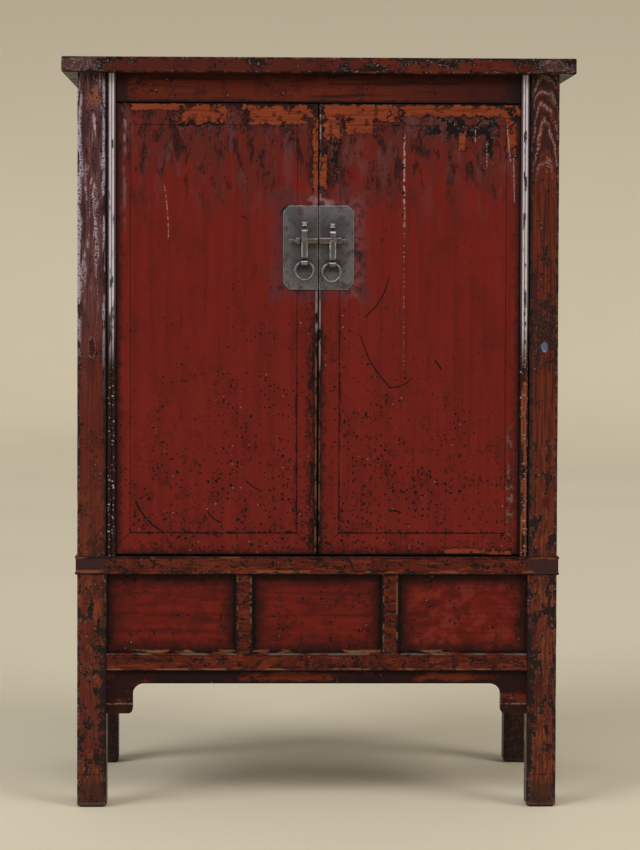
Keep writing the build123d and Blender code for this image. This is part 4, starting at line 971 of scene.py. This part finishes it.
def joint_lines(p, name, torn):
    """Joint lines of the frame: plain beside the seam and below, hardly seen elsewhere."""
    inside = p.between(p.wide, STILE - 0.25 * MM, HINGE + 0.25 * MM, MM)
    inside = inside * p.between(p.z, FOOT_RAIL - 0.75 * MM, HEAD_RAIL + 0.75 * MM, MM)
    upright, foot = abs(p.wide - STILE + 0.3 * MM), abs(p.z - FOOT_RAIL - 0.3 * MM)
    lines = p.rise(upright, 1.3 * MM, 0.6 * MM) * p.rise(p.z, 0.8, 0.6)
    lines = p.most(lines, p.rise(foot, 1.3 * MM, 0.6 * MM))
    faint = p.near(p.wide, HINGE + 0.3 * MM, 0.5 * MM, 0.6 * MM)
    faint = p.most(faint, p.near(p.z, HEAD_RAIL - 0.3 * MM, 0.4 * MM, 0.6 * MM))
    joint = p.most(lines, faint * 0.12) * inside
    for along_x, along_z, less, share, on_hinge in MITRES:
        if name == "panel" or name == ("meeting_stile" if on_hinge else "hinge_stile"):
            continue
        gap = p.wide * along_x + p.z * along_z - less
        if on_hinge:
            beyond = p.rise(p.wide, HINGE - MM, HINGE + 0.5 * MM)
        else:
            beyond = p.rise(p.wide, STILE + MM, STILE - 0.5 * MM)
        outside = p.rise(abs(p.z - LEAF_LEVEL), 0.288, 0.2895)
        joint = p.most(joint, p.near(gap, 0.0, 0.0003, 0.0006) * beyond * outside * share)
    broken = p.rise(p.noise(0.012, (1, 1), (2, 2, 0), detail=4), 0.4, 0.54, 0.3, 1.0)
    p.lay(joint * broken, BLACK, -1.0)
    beside = p.rise(upright, 5.4 * MM, 0.4 * MM) * p.rise(p.z, 0.76, 0.6)
    beside = p.most(beside, p.rise(foot, 5.4 * MM, 0.4 * MM))
    p.lay(beside * inside * p.rise(torn, 0.5, 0.56) * 0.9, BLACK, -0.8)


def bared(p, zone):
    """Bare wood where the lacquer is gone, with a lumpy black border."""
    inward = []
    for x, z, half_x, half_z in WORN_PLACES:
        if meets(zone, (x - half_x, x + half_x, z - half_z, z + half_z)):
            inward.append(1 - p.most(abs(p.x - x) / half_x, abs(p.z - z) / half_z))
    worn = p.largest(inward)
    lumps = p.noise(0.013, (1, 1), (6, 3, 0), detail=5, rough=0.62)
    worn = worn * 0.55 + (lumps - 0.5) * 0.95 + (p.fine - 0.5) * 0.3
    border = p.rise(p.noise(0.02, (1, 1), (1, 5, 0), detail=3), 0.42, 0.62) * 0.16
    p.lay(p.rise(worn + border, 0.0, 0.03) * 0.93, BLACK, -0.3)
    bare = p.rise(worn, 0.055, 0.08)
    p.lay(bare, (124, 58, 37), -0.9)
    wood = p.noise(0.004, (0.06, 1), (3, 4, 0), detail=5, rough=0.65)
    p.lay(bare * p.rise(wood, 0.48, 0.64) * 0.7, (92, 40, 26))
    p.lay(bare * p.rise(wood, 0.42, 0.32) * 0.5, (142, 72, 46))
    p.lay(bare * p.rise(lumps, 0.45, 0.41) * 0.8, (66, 29, 21))


def scored(p, torn, zone):
    """The pocked line down the right leaf, white and holed above, thin and dark below, and the dark
    scratches and spots of both leaves."""
    line = p.rise(abs(p.x - POCKED_LINE + (p.fine - 0.5) * 0.003), 0.0017, 0.0008)
    upper = p.near(p.z, 0.893, 0.064, 0.004)
    patchy = p.rise(p.noise(0.007, (1, 0.7), (2, 5, 0), detail=3), 0.46, 0.5)
    p.lay(line * upper * patchy * 0.9, (152, 132, 128), 0.3)
    beside = p.near(p.x, POCKED_LINE, 0.002, 0.003) * upper
    p.lay(p.dots(0.0075, 0.75, 0.34, beside, p.fine, shift=(1, 2, 0)), BLACK, -1.0)
    thin = p.rise(abs(p.x - POCKED_LINE), 0.0009, 0.0004) * p.near(p.z, 0.73, 0.1, 0.02)
    p.lay(thin * p.rise(torn, 0.44, 0.52) * 0.8, (66, 42, 33), -0.4)
    p.lay(thin * p.rise(p.fine, 0.58, 0.62) * 0.8, (150, 132, 120))
    dark = strokes(p, DARK_SCRATCHES, zone)
    for x, z, half in DARK_SPOTS:
        spot = p.most(abs(p.x - x) * 1.3, abs(p.z - z)) + (p.fine - 0.5) * 0.002
        dark = p.most(dark, p.rise(spot, half, half * 0.7))
    p.lay(dark * p.rise(p.fine, 0.3, 0.46, 0.65, 1.0), (17, 10, 9), -1.5)


def halo(p, torn):
    """The halo rubbed and stained round the lock plate, with a painted pink highlight above it and a thin
    painted shadow round its edge.
    """
    haze = p.noise(0.022, (1, 1), (4, 6, 0), detail=4, rough=0.6)
    off = p.most(p.wide - PLATE_SIDE, abs(p.z - PLATE_LEVEL) - PLATE_HALF) + (haze - 0.5) * 0.06
    cloudy = p.rise(off, 0.03, -0.012)
    p.lay(cloudy * 0.75, (84, 50, 55))
    p.lay(cloudy * p.rise(haze, 0.52, 0.38) * 0.5, (54, 36, 40))
    p.lay(cloudy * p.rise(p.x, 0.02, 0.06) * p.rise(haze, 0.42, 0.56) * 0.75, (126, 80, 80))
    # a painted pink highlight just above the plate
    flush = (((p.x - 0.004) / 0.02) ** 2 + ((p.z - PLATE_HIGH - 5 * MM) / 0.008) ** 2) ** 0.5
    p.lay(p.rise(flush + (haze - 0.5) * 3.4, 1.3, 0.3) * 0.75, (140, 98, 98))
    # a thin painted shadow round the plate, which stands proud of the leaf
    p.lay(p.rise(off, 0.008, -0.004) * p.rise(torn, 0.48, 0.54) * 0.8, (40, 25, 24), -0.3)


def rod_side(p, torn):
    """The hinge stile: a painted soft highlight streak on the left leaf, a crumbled strip low on the right
    one, and the rod, greyed above by a painted sheen, with painted highlights on its reeds' crests above
    and dark with points of light below."""
    # a painted highlight streak down the left leaf's hinge stile
    gleam = p.near(p.x, -0.2745, 0.0012, 0.0022) * p.rise(p.z, 0.78, 0.965) * p.rise(p.z, 0.985, 0.975)
    p.lay(gleam * p.rise(torn, 0.38, 0.56) * 0.7, (134, 104, 106), 0.4)
    crumb = p.near(p.x + (torn - 0.5) * 0.012, 0.2735, 0.0024, 0.002) * p.near(p.z, 0.465, 0.065, 0.02)
    p.lay(crumb * p.rise(p.wander, 0.46, 0.5), (104, 74, 64), -0.5)
    p.lay(crumb * p.near(p.wander, 0.48, 0.02, 0.015) * 0.9, BLACK, -0.5)
    rod = p.rise(p.wide, LEAF_SIDE - 0.2 * MM, LEAF_SIDE + 0.3 * MM)
    across = abs(p.wide - LEAF_SIDE - 5.8 * MM)
    p.lay(rod * 0.92, (42, 25, 23))
    # painted sheen greying the upper rod, and painted highlights along its reeds' crests
    p.lay(rod * p.rise(p.z, 0.64, 0.74) * 0.7, (92, 80, 86))
    rub_and_gleam = p.noise(0.02, (1, 0.25), (6, 6, 0), detail=4, rough=0.6)
    bright = p.near(across, 0.0019, 0.0011, 0.0007) * p.rise(p.y, LEAF_FACE - MM, LEAF_FACE - 2 * MM)
    p.lay(rod * bright * p.rise(p.z, 0.62, 0.7) * p.rise(rub_and_gleam, 0.32, 0.44) * 0.95, (196, 184, 188), 0.3)
    warm = p.rise(rub_and_gleam, 0.44, 0.5) * p.rise(p.x, -0.01, 0.0) * p.rise(p.z, 0.66, 0.6)
    p.lay(rod * p.rise(across, 0.0042, 0.0034) * warm * 0.9, (128, 66, 46))
    p.lay(rod * p.rise(across, 0.0032, 0.0022) * p.rise(rub_and_gleam, 0.62, 0.66) * 0.9, BLACK, -0.4)
    points = p.dots(0.0055, 0.55, 0.24, p.rise(p.z, 0.7, 0.62) * 0.95, p.fine, shift=(8, 2, 0))
    p.lay(rod * p.most(points, p.dots(0.004, 0.4, 0.2, shift=(7, 7, 0))) * 0.9, (176, 162, 156), 0.4)


def door_finish(name):
    """One of the five pieces of a door leaf: streaked red, and on it the wear that reaches it."""
    zone = DOOR_ZONES[name]
    panel, stile, hinge = name == "panel", name == "meeting_stile", name == "hinge_stile"
    p = Coat(f"door {name}", (104, 34, 29))
    p.wide = abs(p.x)
    streak = p.noise(0.012, (1, 0.05), (1, 1, 0), detail=4, rough=0.65)
    p.lay(p.rise(streak, 0.5, 0.66) * 0.45, (84, 29, 25))
    p.lay(p.rise(streak, 0.5, 0.36) * 0.3, (114, 39, 33))
    cloud = p.noise(0.035, (1, 0.5), (7, 2, 0), detail=5, rough=0.6)
    p.lay(p.rise(cloud, 0.48, 0.66) * 0.45, (84, 29, 24))
    torn = p.noise(0.012, (1, 0.35), (5, 2, 0), detail=5, rough=0.68)
    if name != "bottom_rail":
        browned(p, cloud, torn)
    pecked(p, cloud, not hinge)
    if name != "bottom_rail" and not hinge:
        crusted(p)
    if not panel:
        margins(p)
    if not panel and not hinge:
        seam_wear(p, torn)
    joint_lines(p, name, torn)
    bared(p, zone)
    if panel:
        scored(p, torn, zone)
    if panel or hinge:
        pale = strokes(p, PALE_SCRATCHES, zone)
        p.lay(pale * p.rise(p.fine, 0.4, 0.54) * 0.85, (146, 116, 112), 0.3)
    if panel or stile:
        halo(p, torn)
    if hinge:
        rod_side(p, torn)
    # the inner face and the edges of each leaf are plain dark lacquer
    back = p.rise(p.y, LEAF_FACE + 1.3 * MM, LEAF_FACE + 4.5 * MM)
    p.lay(back * 0.92, (54, 30, 25))
    p.lay(back * p.rise(streak, 0.5, 0.64) * 0.6, (82, 48, 35))
    return p.done(depth=0.4 * MM, coat=0.05, specular=0.12)


def iron_finish():
    """Forged iron: grey with greenish, purple and brown clouds, painted shade round the keepers' eyes
    and along the bar's underside, fine pits, and bright edges and crests, rubbed and partly painted
    highlights."""
    p = Coat("forged iron", (124, 122, 132), linear)
    cloud = p.noise(0.022, (1, 1), (1, 2, 0), detail=4)
    p.lay(p.rise(cloud, 0.5, 0.64) * 0.75, (86, 83, 90))
    p.lay(p.rise(p.noise(0.03, (1, 1), (3, 3, 0)), 0.5, 0.64) * 0.6, (100, 113, 110))
    p.lay(p.rise(p.noise(0.026, (1, 1), (8, 2, 0)), 0.54, 0.66) * 0.5, (118, 104, 112))
    p.lay(p.rise(p.noise(0.016, (1, 1), (5, 1, 0), detail=5), 0.58, 0.68) * 0.6, (62, 52, 50), -0.2)
    p.lay(p.dots(0.004, 0.4, 0.24, 1.0, p.fine), (48, 44, 44), -0.5)
    wide, out, up = abs(p.x), PLATE_FACE - p.y, p.z - BAR_LEVEL
    keeper = abs(wide - KEEPER_X)
    ends = p.least(abs(p.z - PLATE_LOW), abs(p.z - PLATE_HIGH))
    rim = p.least(p.least(abs(wide - PLATE_SIDE), abs(wide - PLATE_SEAM)), ends)
    # the cants run where both shares of their own width and height come to one
    past = (wide - PLATE_SIDE) / CANT_WIDE + (abs(p.z - PLATE_LEVEL) - PLATE_HALF) / CANT_HIGH
    canted = abs(past + 1) * 6.2 * MM
    on_plate = p.rise(out, 1.5 * MM, 0.7 * MM)
    rubbed = p.rise(p.least(rim, canted) + (p.fine - 0.5) * 0.0012, 0.0014, 0.0004) * on_plate
    p.lay(rubbed * p.rise(p.wander, 0.36, 0.54, 0.15, 0.85), (158, 152, 150), 0.2)
    dull = p.rise(keeper, 24 * MM, 12 * MM) * p.near(up, -7 * MM, 30 * MM, 20 * MM) * on_plate
    p.lay(dull * 0.55, (66, 63, 64))
    # painted shade on the plate round each keeper's eye, where the ring hangs
    under = p.rise(keeper, 13.5 * MM, 9.5 * MM) * p.near(up, -35.5 * MM, 7 * MM, 4 * MM) * on_plate
    p.lay(under * 0.6, (34, 31, 32))
    # bar, keepers and rings are darker, their crests rubbed bright and lit further by painted highlights
    proud = p.rise(out, 1.3 * MM, 2.1 * MM)
    p.lay(proud * 0.7, (78, 73, 74))
    p.lay(proud * p.rise(p.wander, 0.5, 0.62) * 0.6, (58, 52, 51))
    on_lock = p.rise(keeper, 6.6 * MM, 6.2 * MM)
    strap = p.rise(out, 12.9 * MM, 14.1 * MM) * on_lock
    p.lay(strap * 0.8, (118, 114, 116))
    bar = p.rise(abs(up), 5.9 * MM, 5.6 * MM) * proud * p.rise(out, 12.3 * MM, 11.9 * MM)
    p.lay(bar * 0.75, (112, 103, 98))
    # painted shade along the bar's underside and a painted highlight along its top
    p.lay(bar * p.rise(up, -3.4 * MM, -4.8 * MM) * 0.85, (40, 35, 35))
    gleam = bar * p.near(up, 4.4 * MM, 0.5 * MM, 0.6 * MM)
    p.lay(gleam * p.rise(p.wander, 0.46, 0.56) * 0.5, (150, 144, 142))
    crest = strap * p.rise(keeper, 2.2 * MM, 3.2 * MM) * p.rise(up, MM, -5 * MM)
    head = strap * p.rise(up + p.x * 0.5, 19.5 * MM, 22.5 * MM)
    knob = p.rise(out, 4.3 * MM, 6.3 * MM) * on_lock * p.rise(up, 16.6 * MM, 17.6 * MM)
    staple = p.rise(out, 8 * MM, 9.3 * MM) * p.near(up, -31.5 * MM, 2.2 * MM, MM) * on_lock
    wire = p.rise(out, 5.1 * MM, 6.3 * MM) * p.rise(up, -31 * MM, -35 * MM) * p.rise(out, 7.7 * MM, 7.1 * MM)
    crest = p.largest([crest, head * 0.4, knob * 0.3, staple * 0.4, wire * 0.3])
    p.lay(crest * p.rise(p.wander, 0.38, 0.54, 0.3, 1.0), (176, 172, 172))
    return p.done(0.52, 0.28, depth=0.15 * MM, metal=0.85, specular=0.5)




# ---------------------------------------------------------------- sizes and colours a user may change
class IronworkSizes(bpy.types.PropertyGroup):
    """Sizes of the forged ironwork."""

    ring_wire: bpy.props.FloatProperty(
        name="Ring wire", description="Radius of the pull rings' wire", default=2.0 * MM, min=MM, max=3 * MM,
        unit="LENGTH",
    )
    flute_depth: bpy.props.FloatProperty(
        name="Flute depth", description="Depth of the hollow down the front of each keeper",
        default=1.1 * MM, min=0, max=2 * MM, unit="LENGTH",
    )


class WearSizes(bpy.types.PropertyGroup):
    """How far the boards are worn."""

    edge_radius: bpy.props.FloatProperty(
        name="Edge radius", description="Rounding that use has left on the posts and boards",
        default=1.6 * MM, min=0.5 * MM, max=4 * MM, unit="LENGTH",
    )
    chips: bpy.props.FloatProperty(
        name="Chips", description="Depth of the chips along the edges, 1 as on the real cabinet",
        default=1.0, min=0, max=2, subtype="FACTOR",
    )


class StageSizes(bpy.types.PropertyGroup):
    """The studio."""

    paper: bpy.props.FloatVectorProperty(
        name="Paper", description="Colour of the floor and backdrop", subtype="COLOR",
        default=linear((214, 204, 180))[:3], min=0, max=1,
    )
    key_light: bpy.props.FloatProperty(
        name="Key light", description="Strength of the main light; the others follow it", default=1.12, min=0,
        max=10,
    )


# ---------------------------------------------------------------- the pieces
FINISH_OF = {
    "post": ["post_front_left", "post_front_right", "post_back_left", "post_back_right"],
    "top": ["top_front_rail", "top_back_rail", "top_left_end", "top_right_end", "top_panel"],
    "rail": [
        "door_lintel", "waist_rail_front", "waist_rail_left", "waist_rail_right", "muntins",
        "lower_rail_front", "lower_rail_left", "lower_rail_right", "upper_rail_left", "upper_rail_right",
        "apron_front", "apron_left", "apron_right", "bracket_front_left", "bracket_front_right",
        "side_brackets",
    ],
    "lower": ["lower_panel_left", "lower_panel_middle", "lower_panel_right"],
    "side": ["side_upper_panels", "side_lower_panels"],
    "inner": [
        "back_panels", "upper_rail_back", "lower_rail_back", "waist_rail_back", "top_battens",
        "compartment_bottom", "floor_boards", "floor_lid", "shelf", "shelf_cleats",
        "left_door_battens", "right_door_battens",
    ],
    "iron": [
        "left_lock_plate", "right_lock_plate", "left_keeper", "right_keeper", "left_ring", "right_ring",
        "lock_bolt", "bolt_sleeve",
    ],
}
for part in DOOR_ZONES:
    FINISH_OF[part] = [f"{side}_door_{part}" for side in ("left", "right")]
MAKERS = {
    "post": post_finish, "top": top_finish, "rail": rail_finish, "lower": panel_finish,
    "side": side_finish, "inner": inner_finish, "iron": iron_finish,
}
finishes = {}


def finish_named(name):
    """The finish of that name, made once; the pieces of a door leaf have one each."""
    if name not in finishes:
        finishes[name] = MAKERS[name]() if name in MAKERS else door_finish(name)
    return finishes[name]


def coat_on(piece, name):
    """Puts one finish on a piece."""
    piece.data.materials.clear()
    piece.data.materials.append(finish_named(name))


class KANG_OT_finishes(bpy.types.Operator):
    """Puts lacquer, bare wood and iron on every solid that shows"""

    bl_idname = "kang.finishes"
    bl_label = "Finishes"

    def execute(self, context):
        for name, nodes in FINISH_OF.items():
            for node in nodes:
                coat_on(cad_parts[node], name)
        return {"FINISHED"}


class KANG_OT_posts(bpy.types.Operator):
    """Makes the four posts with rubbed and chipped edges"""

    bl_idname = "kang.posts"
    bl_label = "Worn posts"

    def execute(self, context):
        sizes = context.scene.kang_wear
        for number, node in enumerate(FINISH_OF["post"]):
            low, high = box_of(node)
            post = worn_bar(
                f"worn_{node}", low, high, "carcass", sizes.edge_radius, 5 * MM, sizes.chips, 10 + 4 * number,
                foot=4.4 * MM,
            )
            coat_on(post, "post")
            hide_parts(node)
        return {"FINISHED"}


class KANG_OT_plates(bpy.types.Operator):
    """Makes the two halves of the lock plate as hammered sheet with canted corners"""

    bl_idname = "kang.plates"
    bl_label = "Lock plates"

    def execute(self, context):
        for side, way in (("left", -1), ("right", 1)):
            node = f"{side}_lock_plate"
            low, high = box_of(node)

            def fit(points):
                """Draws the far edge in along both cants and beats the face a little uneven."""
                past = np.abs(points[..., 2] - PLATE_LEVEL) - PLATE_HALF + CANT_HIGH
                past = np.clip(past, 0, CANT_HIGH) / CANT_HIGH
                share = (PLATE_SIDE - CANT_WIDE * past - PLATE_SEAM) / (PLATE_SIDE - PLATE_SEAM)
                made = points.copy()
                made[..., 0] = way * (PLATE_SEAM + (np.abs(points[..., 0]) - PLATE_SEAM) * share)
                front = (points[..., 1] < low[1] + 0.8 * MM) * 0.12 * MM
                made[..., 1] += front * (ripple(made, 14 * MM, 51) + 1)
                return made

            low[0], high[0] = sorted((way * PLATE_SEAM, way * PLATE_SIDE))
            plate = worn_bar(
                f"hammered_{node}", low, high, f"{side}_door", 0.5 * MM, 2.5 * MM, 0.1, 52, fit=fit
            )
            coat_on(plate, "iron")
            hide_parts(node)
        return {"FINISHED"}


# a keeper's strap starts this far below the top of its knob; the rest is counted from there
KNOB_HIGH, KNOB_MIDDLE = 11.6 * MM, 6.6 * MM
KNOB_HALF = (5.1 * MM, 4.9 * MM, 7.5 * MM)  # half width, half height and how far it stands out
STRAP_LONG, EYE_DOWN, EYE_OUT = 44 * MM, 47.7 * MM, 4.9 * MM


class KANG_OT_keepers(bpy.types.Operator):
    """Makes the two keepers: base, bowed strap with its flute, knob and eye"""

    bl_idname = "kang.keepers"
    bl_label = "Keepers"

    def execute(self, context):
        flute = context.scene.kang_iron.flute_depth
        for side in ("left", "right"):
            node, body = f"{side}_keeper", f"{side}_door"
            low, high = box_of(node)
            middle, top = (low[0] + high[0]) / 2, high[2] - KNOB_HIGH
            plate = box_of(f"{side}_lock_plate")[0][1]
            highest = top + 1.2 * MM
            strap = bow(f"{side}_keeper_bow", middle, highest, STRAP_LONG, low[1], plate, flute, body)
            coat_on(strap, "iron")
            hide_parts(node)
            small = [
                button(f"{side}_keeper_knob", (middle, top + KNOB_MIDDLE), plate, KNOB_HALF, body),
                worn_bar(
                    f"{side}_keeper_base", (middle - 4.4 * MM, plate - 1.5 * MM, top - 46 * MM),
                    (middle + 4.4 * MM, plate + 0.2 * MM, top + 10 * MM), body, 0.5 * MM, 2 * MM, 0.2, 31,
                ),
                eye(f"{side}_keeper_eye", middle, (plate - EYE_OUT, top - EYE_DOWN), body),
            ]
            for end, z in (("upper", top + 7.3 * MM), ("lower", top - EYE_DOWN)):
                shank_low = (middle - 2 * MM, high[1] - 2.4 * MM, z - 11 * MM)
                shank_high = (middle + 2 * MM, high[1], z + 1.2 * MM)
                name = f"{side}_keeper_{end}_shank"
                small.append(worn_bar(name, shank_low, shank_high, body, 0.4 * MM, 2 * MM, 0.2, 33))
            for piece in small:
                coat_on(piece, "iron")
        return {"FINISHED"}


class KANG_OT_bolt(bpy.types.Operator):
    """Forges the sliding bolt and the sleeve that takes it, both of squared section"""

    bl_idname = "kang.bolt"
    bl_label = "Bolt"

    def execute(self, context):
        kinds = (("lock_bolt", "lock_bolt", BOLT_PROFILE), ("bolt_sleeve", "right_door", SLEEVE_PROFILE))
        for name, body, profile in kinds:
            low, high = box_of(name)
            line = ((low[1] + high[1]) / 2, (low[2] + high[2]) / 2)
            piece = turned(f"forged_{name}", np.array(profile) * MM, line, body, 56, power=0.42)
            coat_on(piece, "iron")
            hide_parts(name)
        return {"FINISHED"}


class KANG_OT_rings(bpy.types.Operator):
    """Makes the two pull rings of round wire"""

    bl_idname = "kang.rings"
    bl_label = "Pull rings"

    def execute(self, context):
        wire, mean = context.scene.kang_iron.ring_wire, 13 * MM
        # the right ring hangs a little nearer the seam
        for side, hang in (("left", 0.0), ("right", -1.6 * MM)):
            node = f"{side}_ring"
            low, high = box_of(node)
            middle = (low[0] + high[0]) / 2 + hang, (low[1] + high[1]) / 2, high[2] - 0.4 * MM - mean
            ring = pull_ring(f"{side}_pull_ring", middle, mean, wire, node)
            coat_on(ring, "iron")
            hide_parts(node)
        return {"FINISHED"}


# the camera: place, lens, shift, and yaw, pitch and roll in degrees
CAMERA_PLACE, CAMERA_LENS, CAMERA_SHIFT = (-0.096, -4.270, 0.766), 121.4, -0.0706
CAMERA_TURN = (1.39, -1.90, 0.20)


def studio_floor(colour):
    """The floor and backdrop, a bowl: its profile, flat and then a quarter circle and a wall, is
    turned about Z. Its paper is a little cloudy and darker higher up, a painted falloff of the light."""
    bend = np.linspace(0, math.pi / 2, 24)
    radius = np.concatenate([np.linspace(0.0, 8.0, 24), 8.0 + 4.0 * np.sin(bend[1:]), [12.0, 12.0]])
    height = np.concatenate([np.zeros(24), 4.0 * (1 - np.cos(bend[1:])), [4.5, 5.0]])
    angle = np.linspace(2 * math.pi, 0, 96, endpoint=False)
    points = np.empty((len(radius), len(angle), 3))
    points[..., 0] = radius[:, None] * np.cos(angle)
    points[..., 1] = radius[:, None] * np.sin(angle)
    points[..., 2] = height[:, None]
    floor = grid_object("studio_floor", points, close=False)
    floor.visible_shadow = False
    paper = Paint("studio paper")
    grain = paper.noise(1.2, (1, 1, 1), detail=2)
    shade, upper = [(*[c * part for c in colour], 1.0) for part in (0.96, 0.72)]
    tone = paper.mix(paper.rise(grain, 0.35, 0.7), (*colour, 1.0), shade)
    # painted falloff of the light: the paper darker higher up
    tone = paper.mix(paper.rise(paper.z, -0.2, 2.6), tone, upper)
    fibre = paper.noise(0.004, (1, 1, 1), detail=2)
    floor.data.materials.append(paper.finish(tone, 0.9, fibre, depth=0.05 * MM, specular=0.1))


def shining(name, kind, power, colour, backward, place=(0, 0, 0)):
    """A light of the kind at place, turned so that its back looks along backward."""
    light = bpy.data.lights.new(name, kind)
    light.energy, light.color = power, colour
    made = bpy.data.objects.new(name, light)
    made.location = place
    made.rotation_euler = Vector(backward).to_track_quat("Z", "Y").to_euler()
    bpy.context.scene.collection.objects.link(made)
    return made


def lamp(name, place, aim, wide, tall, power, colour):
    """A soft rectangular light at place that faces aim and isn't seen itself."""
    made = shining(name, "AREA", power, colour, Vector(place) - Vector(aim), place)
    made.data.shape = "RECTANGLE"
    made.data.size, made.data.size_y = wide, tall
    made.visible_camera = False


def sun(name, azimuth, height, power, spread, colour):
    """A far soft light from an azimuth, counted from the front, and a height, both in degrees."""
    side, up = math.radians(azimuth), math.radians(height)
    backward = (math.sin(side) * math.cos(up), -math.cos(side) * math.cos(up), math.sin(up))
    shining(name, "SUN", power, colour, backward).data.angle = math.radians(spread)


def set_camera(scene):
    """The camera in front of the doors, turned by its yaw, pitch and roll."""
    camera = bpy.data.objects.new("camera", bpy.data.cameras.new("camera"))
    camera.data.lens, camera.data.shift_y = CAMERA_LENS, CAMERA_SHIFT
    camera.data.sensor_width, camera.data.clip_end = 36.0, 60.0
    yaw, pitch, roll = np.radians(CAMERA_TURN)
    ahead = np.array([math.sin(yaw) * math.cos(pitch), math.cos(yaw) * math.cos(pitch), math.sin(pitch)])
    level = np.cross(ahead, (0, 0, 1))
    level /= np.linalg.norm(level)
    upward = np.cross(level, ahead)
    turn = np.eye(4)
    turn[:3, 0] = level * math.cos(roll) + upward * math.sin(roll)
    turn[:3, 1] = upward * math.cos(roll) - level * math.sin(roll)
    turn[:3, 2], turn[:3, 3] = -ahead, CAMERA_PLACE
    camera.matrix_world = Matrix(turn.tolist())
    scene.collection.objects.link(camera)
    scene.camera = camera


class KANG_OT_stage(bpy.types.Operator):
    """Sets the floor, the lights and the camera"""

    bl_idname = "kang.stage"
    bl_label = "Studio"

    def execute(self, context):
        scene = context.scene
        studio_floor(tuple(scene.kang_stage.paper))
        key = scene.kang_stage.key_light
        sun("key", -44, 36, key, 24, (0.98, 0.98, 1.0))
        sun("fill", 46, 34, key * 0.85, 24, (1.0, 0.96, 0.91))
        sun("back", 180, 42, key * 0.15, 40, (1.0, 0.98, 0.95))
        lamp("front", (0, -3.4, 3.0), (0, -0.5, 0.3), 1.8, 1.4, key * 32, (1.0, 0.98, 0.96))
        lamp("left_strip", (-3.4, -1.6, 1.6), (0, 0, 0.7), 0.5, 2.4, key * 30, (0.86, 0.92, 1.0))
        lamp("right_strip", (3.4, -1.6, 1.6), (0, 0, 0.7), 0.5, 2.4, key * 16, (1.0, 0.95, 0.92))
        lamp("ceiling", (0, 0, 7.0), (0, 0, 0), 24.0, 24.0, key * 520, (1.0, 0.985, 0.96))
        world = bpy.data.worlds.new("studio air")
        scene.world = world
        world.use_nodes = True
        sky = world.node_tree.nodes["Background"]
        sky.inputs["Color"].default_value = (1.0, 0.97, 0.92, 1.0)
        sky.inputs["Strength"].default_value = 0.08
        set_camera(scene)
        scene.view_settings.view_transform = "Standard"
        scene.view_settings.look = "None"
        return {"FINISHED"}


OPERATORS = [
    KANG_OT_finishes, KANG_OT_posts, KANG_OT_plates, KANG_OT_keepers, KANG_OT_bolt, KANG_OT_rings,
    KANG_OT_stage,
]
GROUPS = {"kang_iron": IronworkSizes, "kang_wear": WearSizes, "kang_stage": StageSizes}


class KANG_PT_panel(bpy.types.Panel):
    """Lists the cabinet's pieces and their sizes"""

    bl_idname = "KANG_PT_panel"
    bl_label = "Kang cabinet"
    bl_space_type = "VIEW_3D"
    bl_region_type = "UI"
    bl_category = "Kang cabinet"

    def draw(self, context):
        for group in GROUPS:
            box = self.layout.box()
            sizes = getattr(context.scene, group)
            for name in GROUPS[group].__annotations__:
                box.prop(sizes, name)
        for operator in OPERATORS:
            self.layout.operator(operator.bl_idname)


def register():
    """Registers the groups, the operators and the panel."""
    for name, group in GROUPS.items():
        bpy.utils.register_class(group)
        setattr(bpy.types.Scene, name, bpy.props.PointerProperty(type=group))
    for kind in (*OPERATORS, KANG_PT_panel):
        bpy.utils.register_class(kind)


def unregister():
    """Takes them away again."""
    for kind in (KANG_PT_panel, *reversed(OPERATORS)):
        bpy.utils.unregister_class(kind)
    for name, group in GROUPS.items():
        delattr(bpy.types.Scene, name)
        bpy.utils.unregister_class(group)


def main():
    """Makes every piece in order."""
    register()
    for operator in OPERATORS:
        group, name = operator.bl_idname.split(".")
        getattr(getattr(bpy.ops, group), name)()


if __name__ == "__main__":
    main()
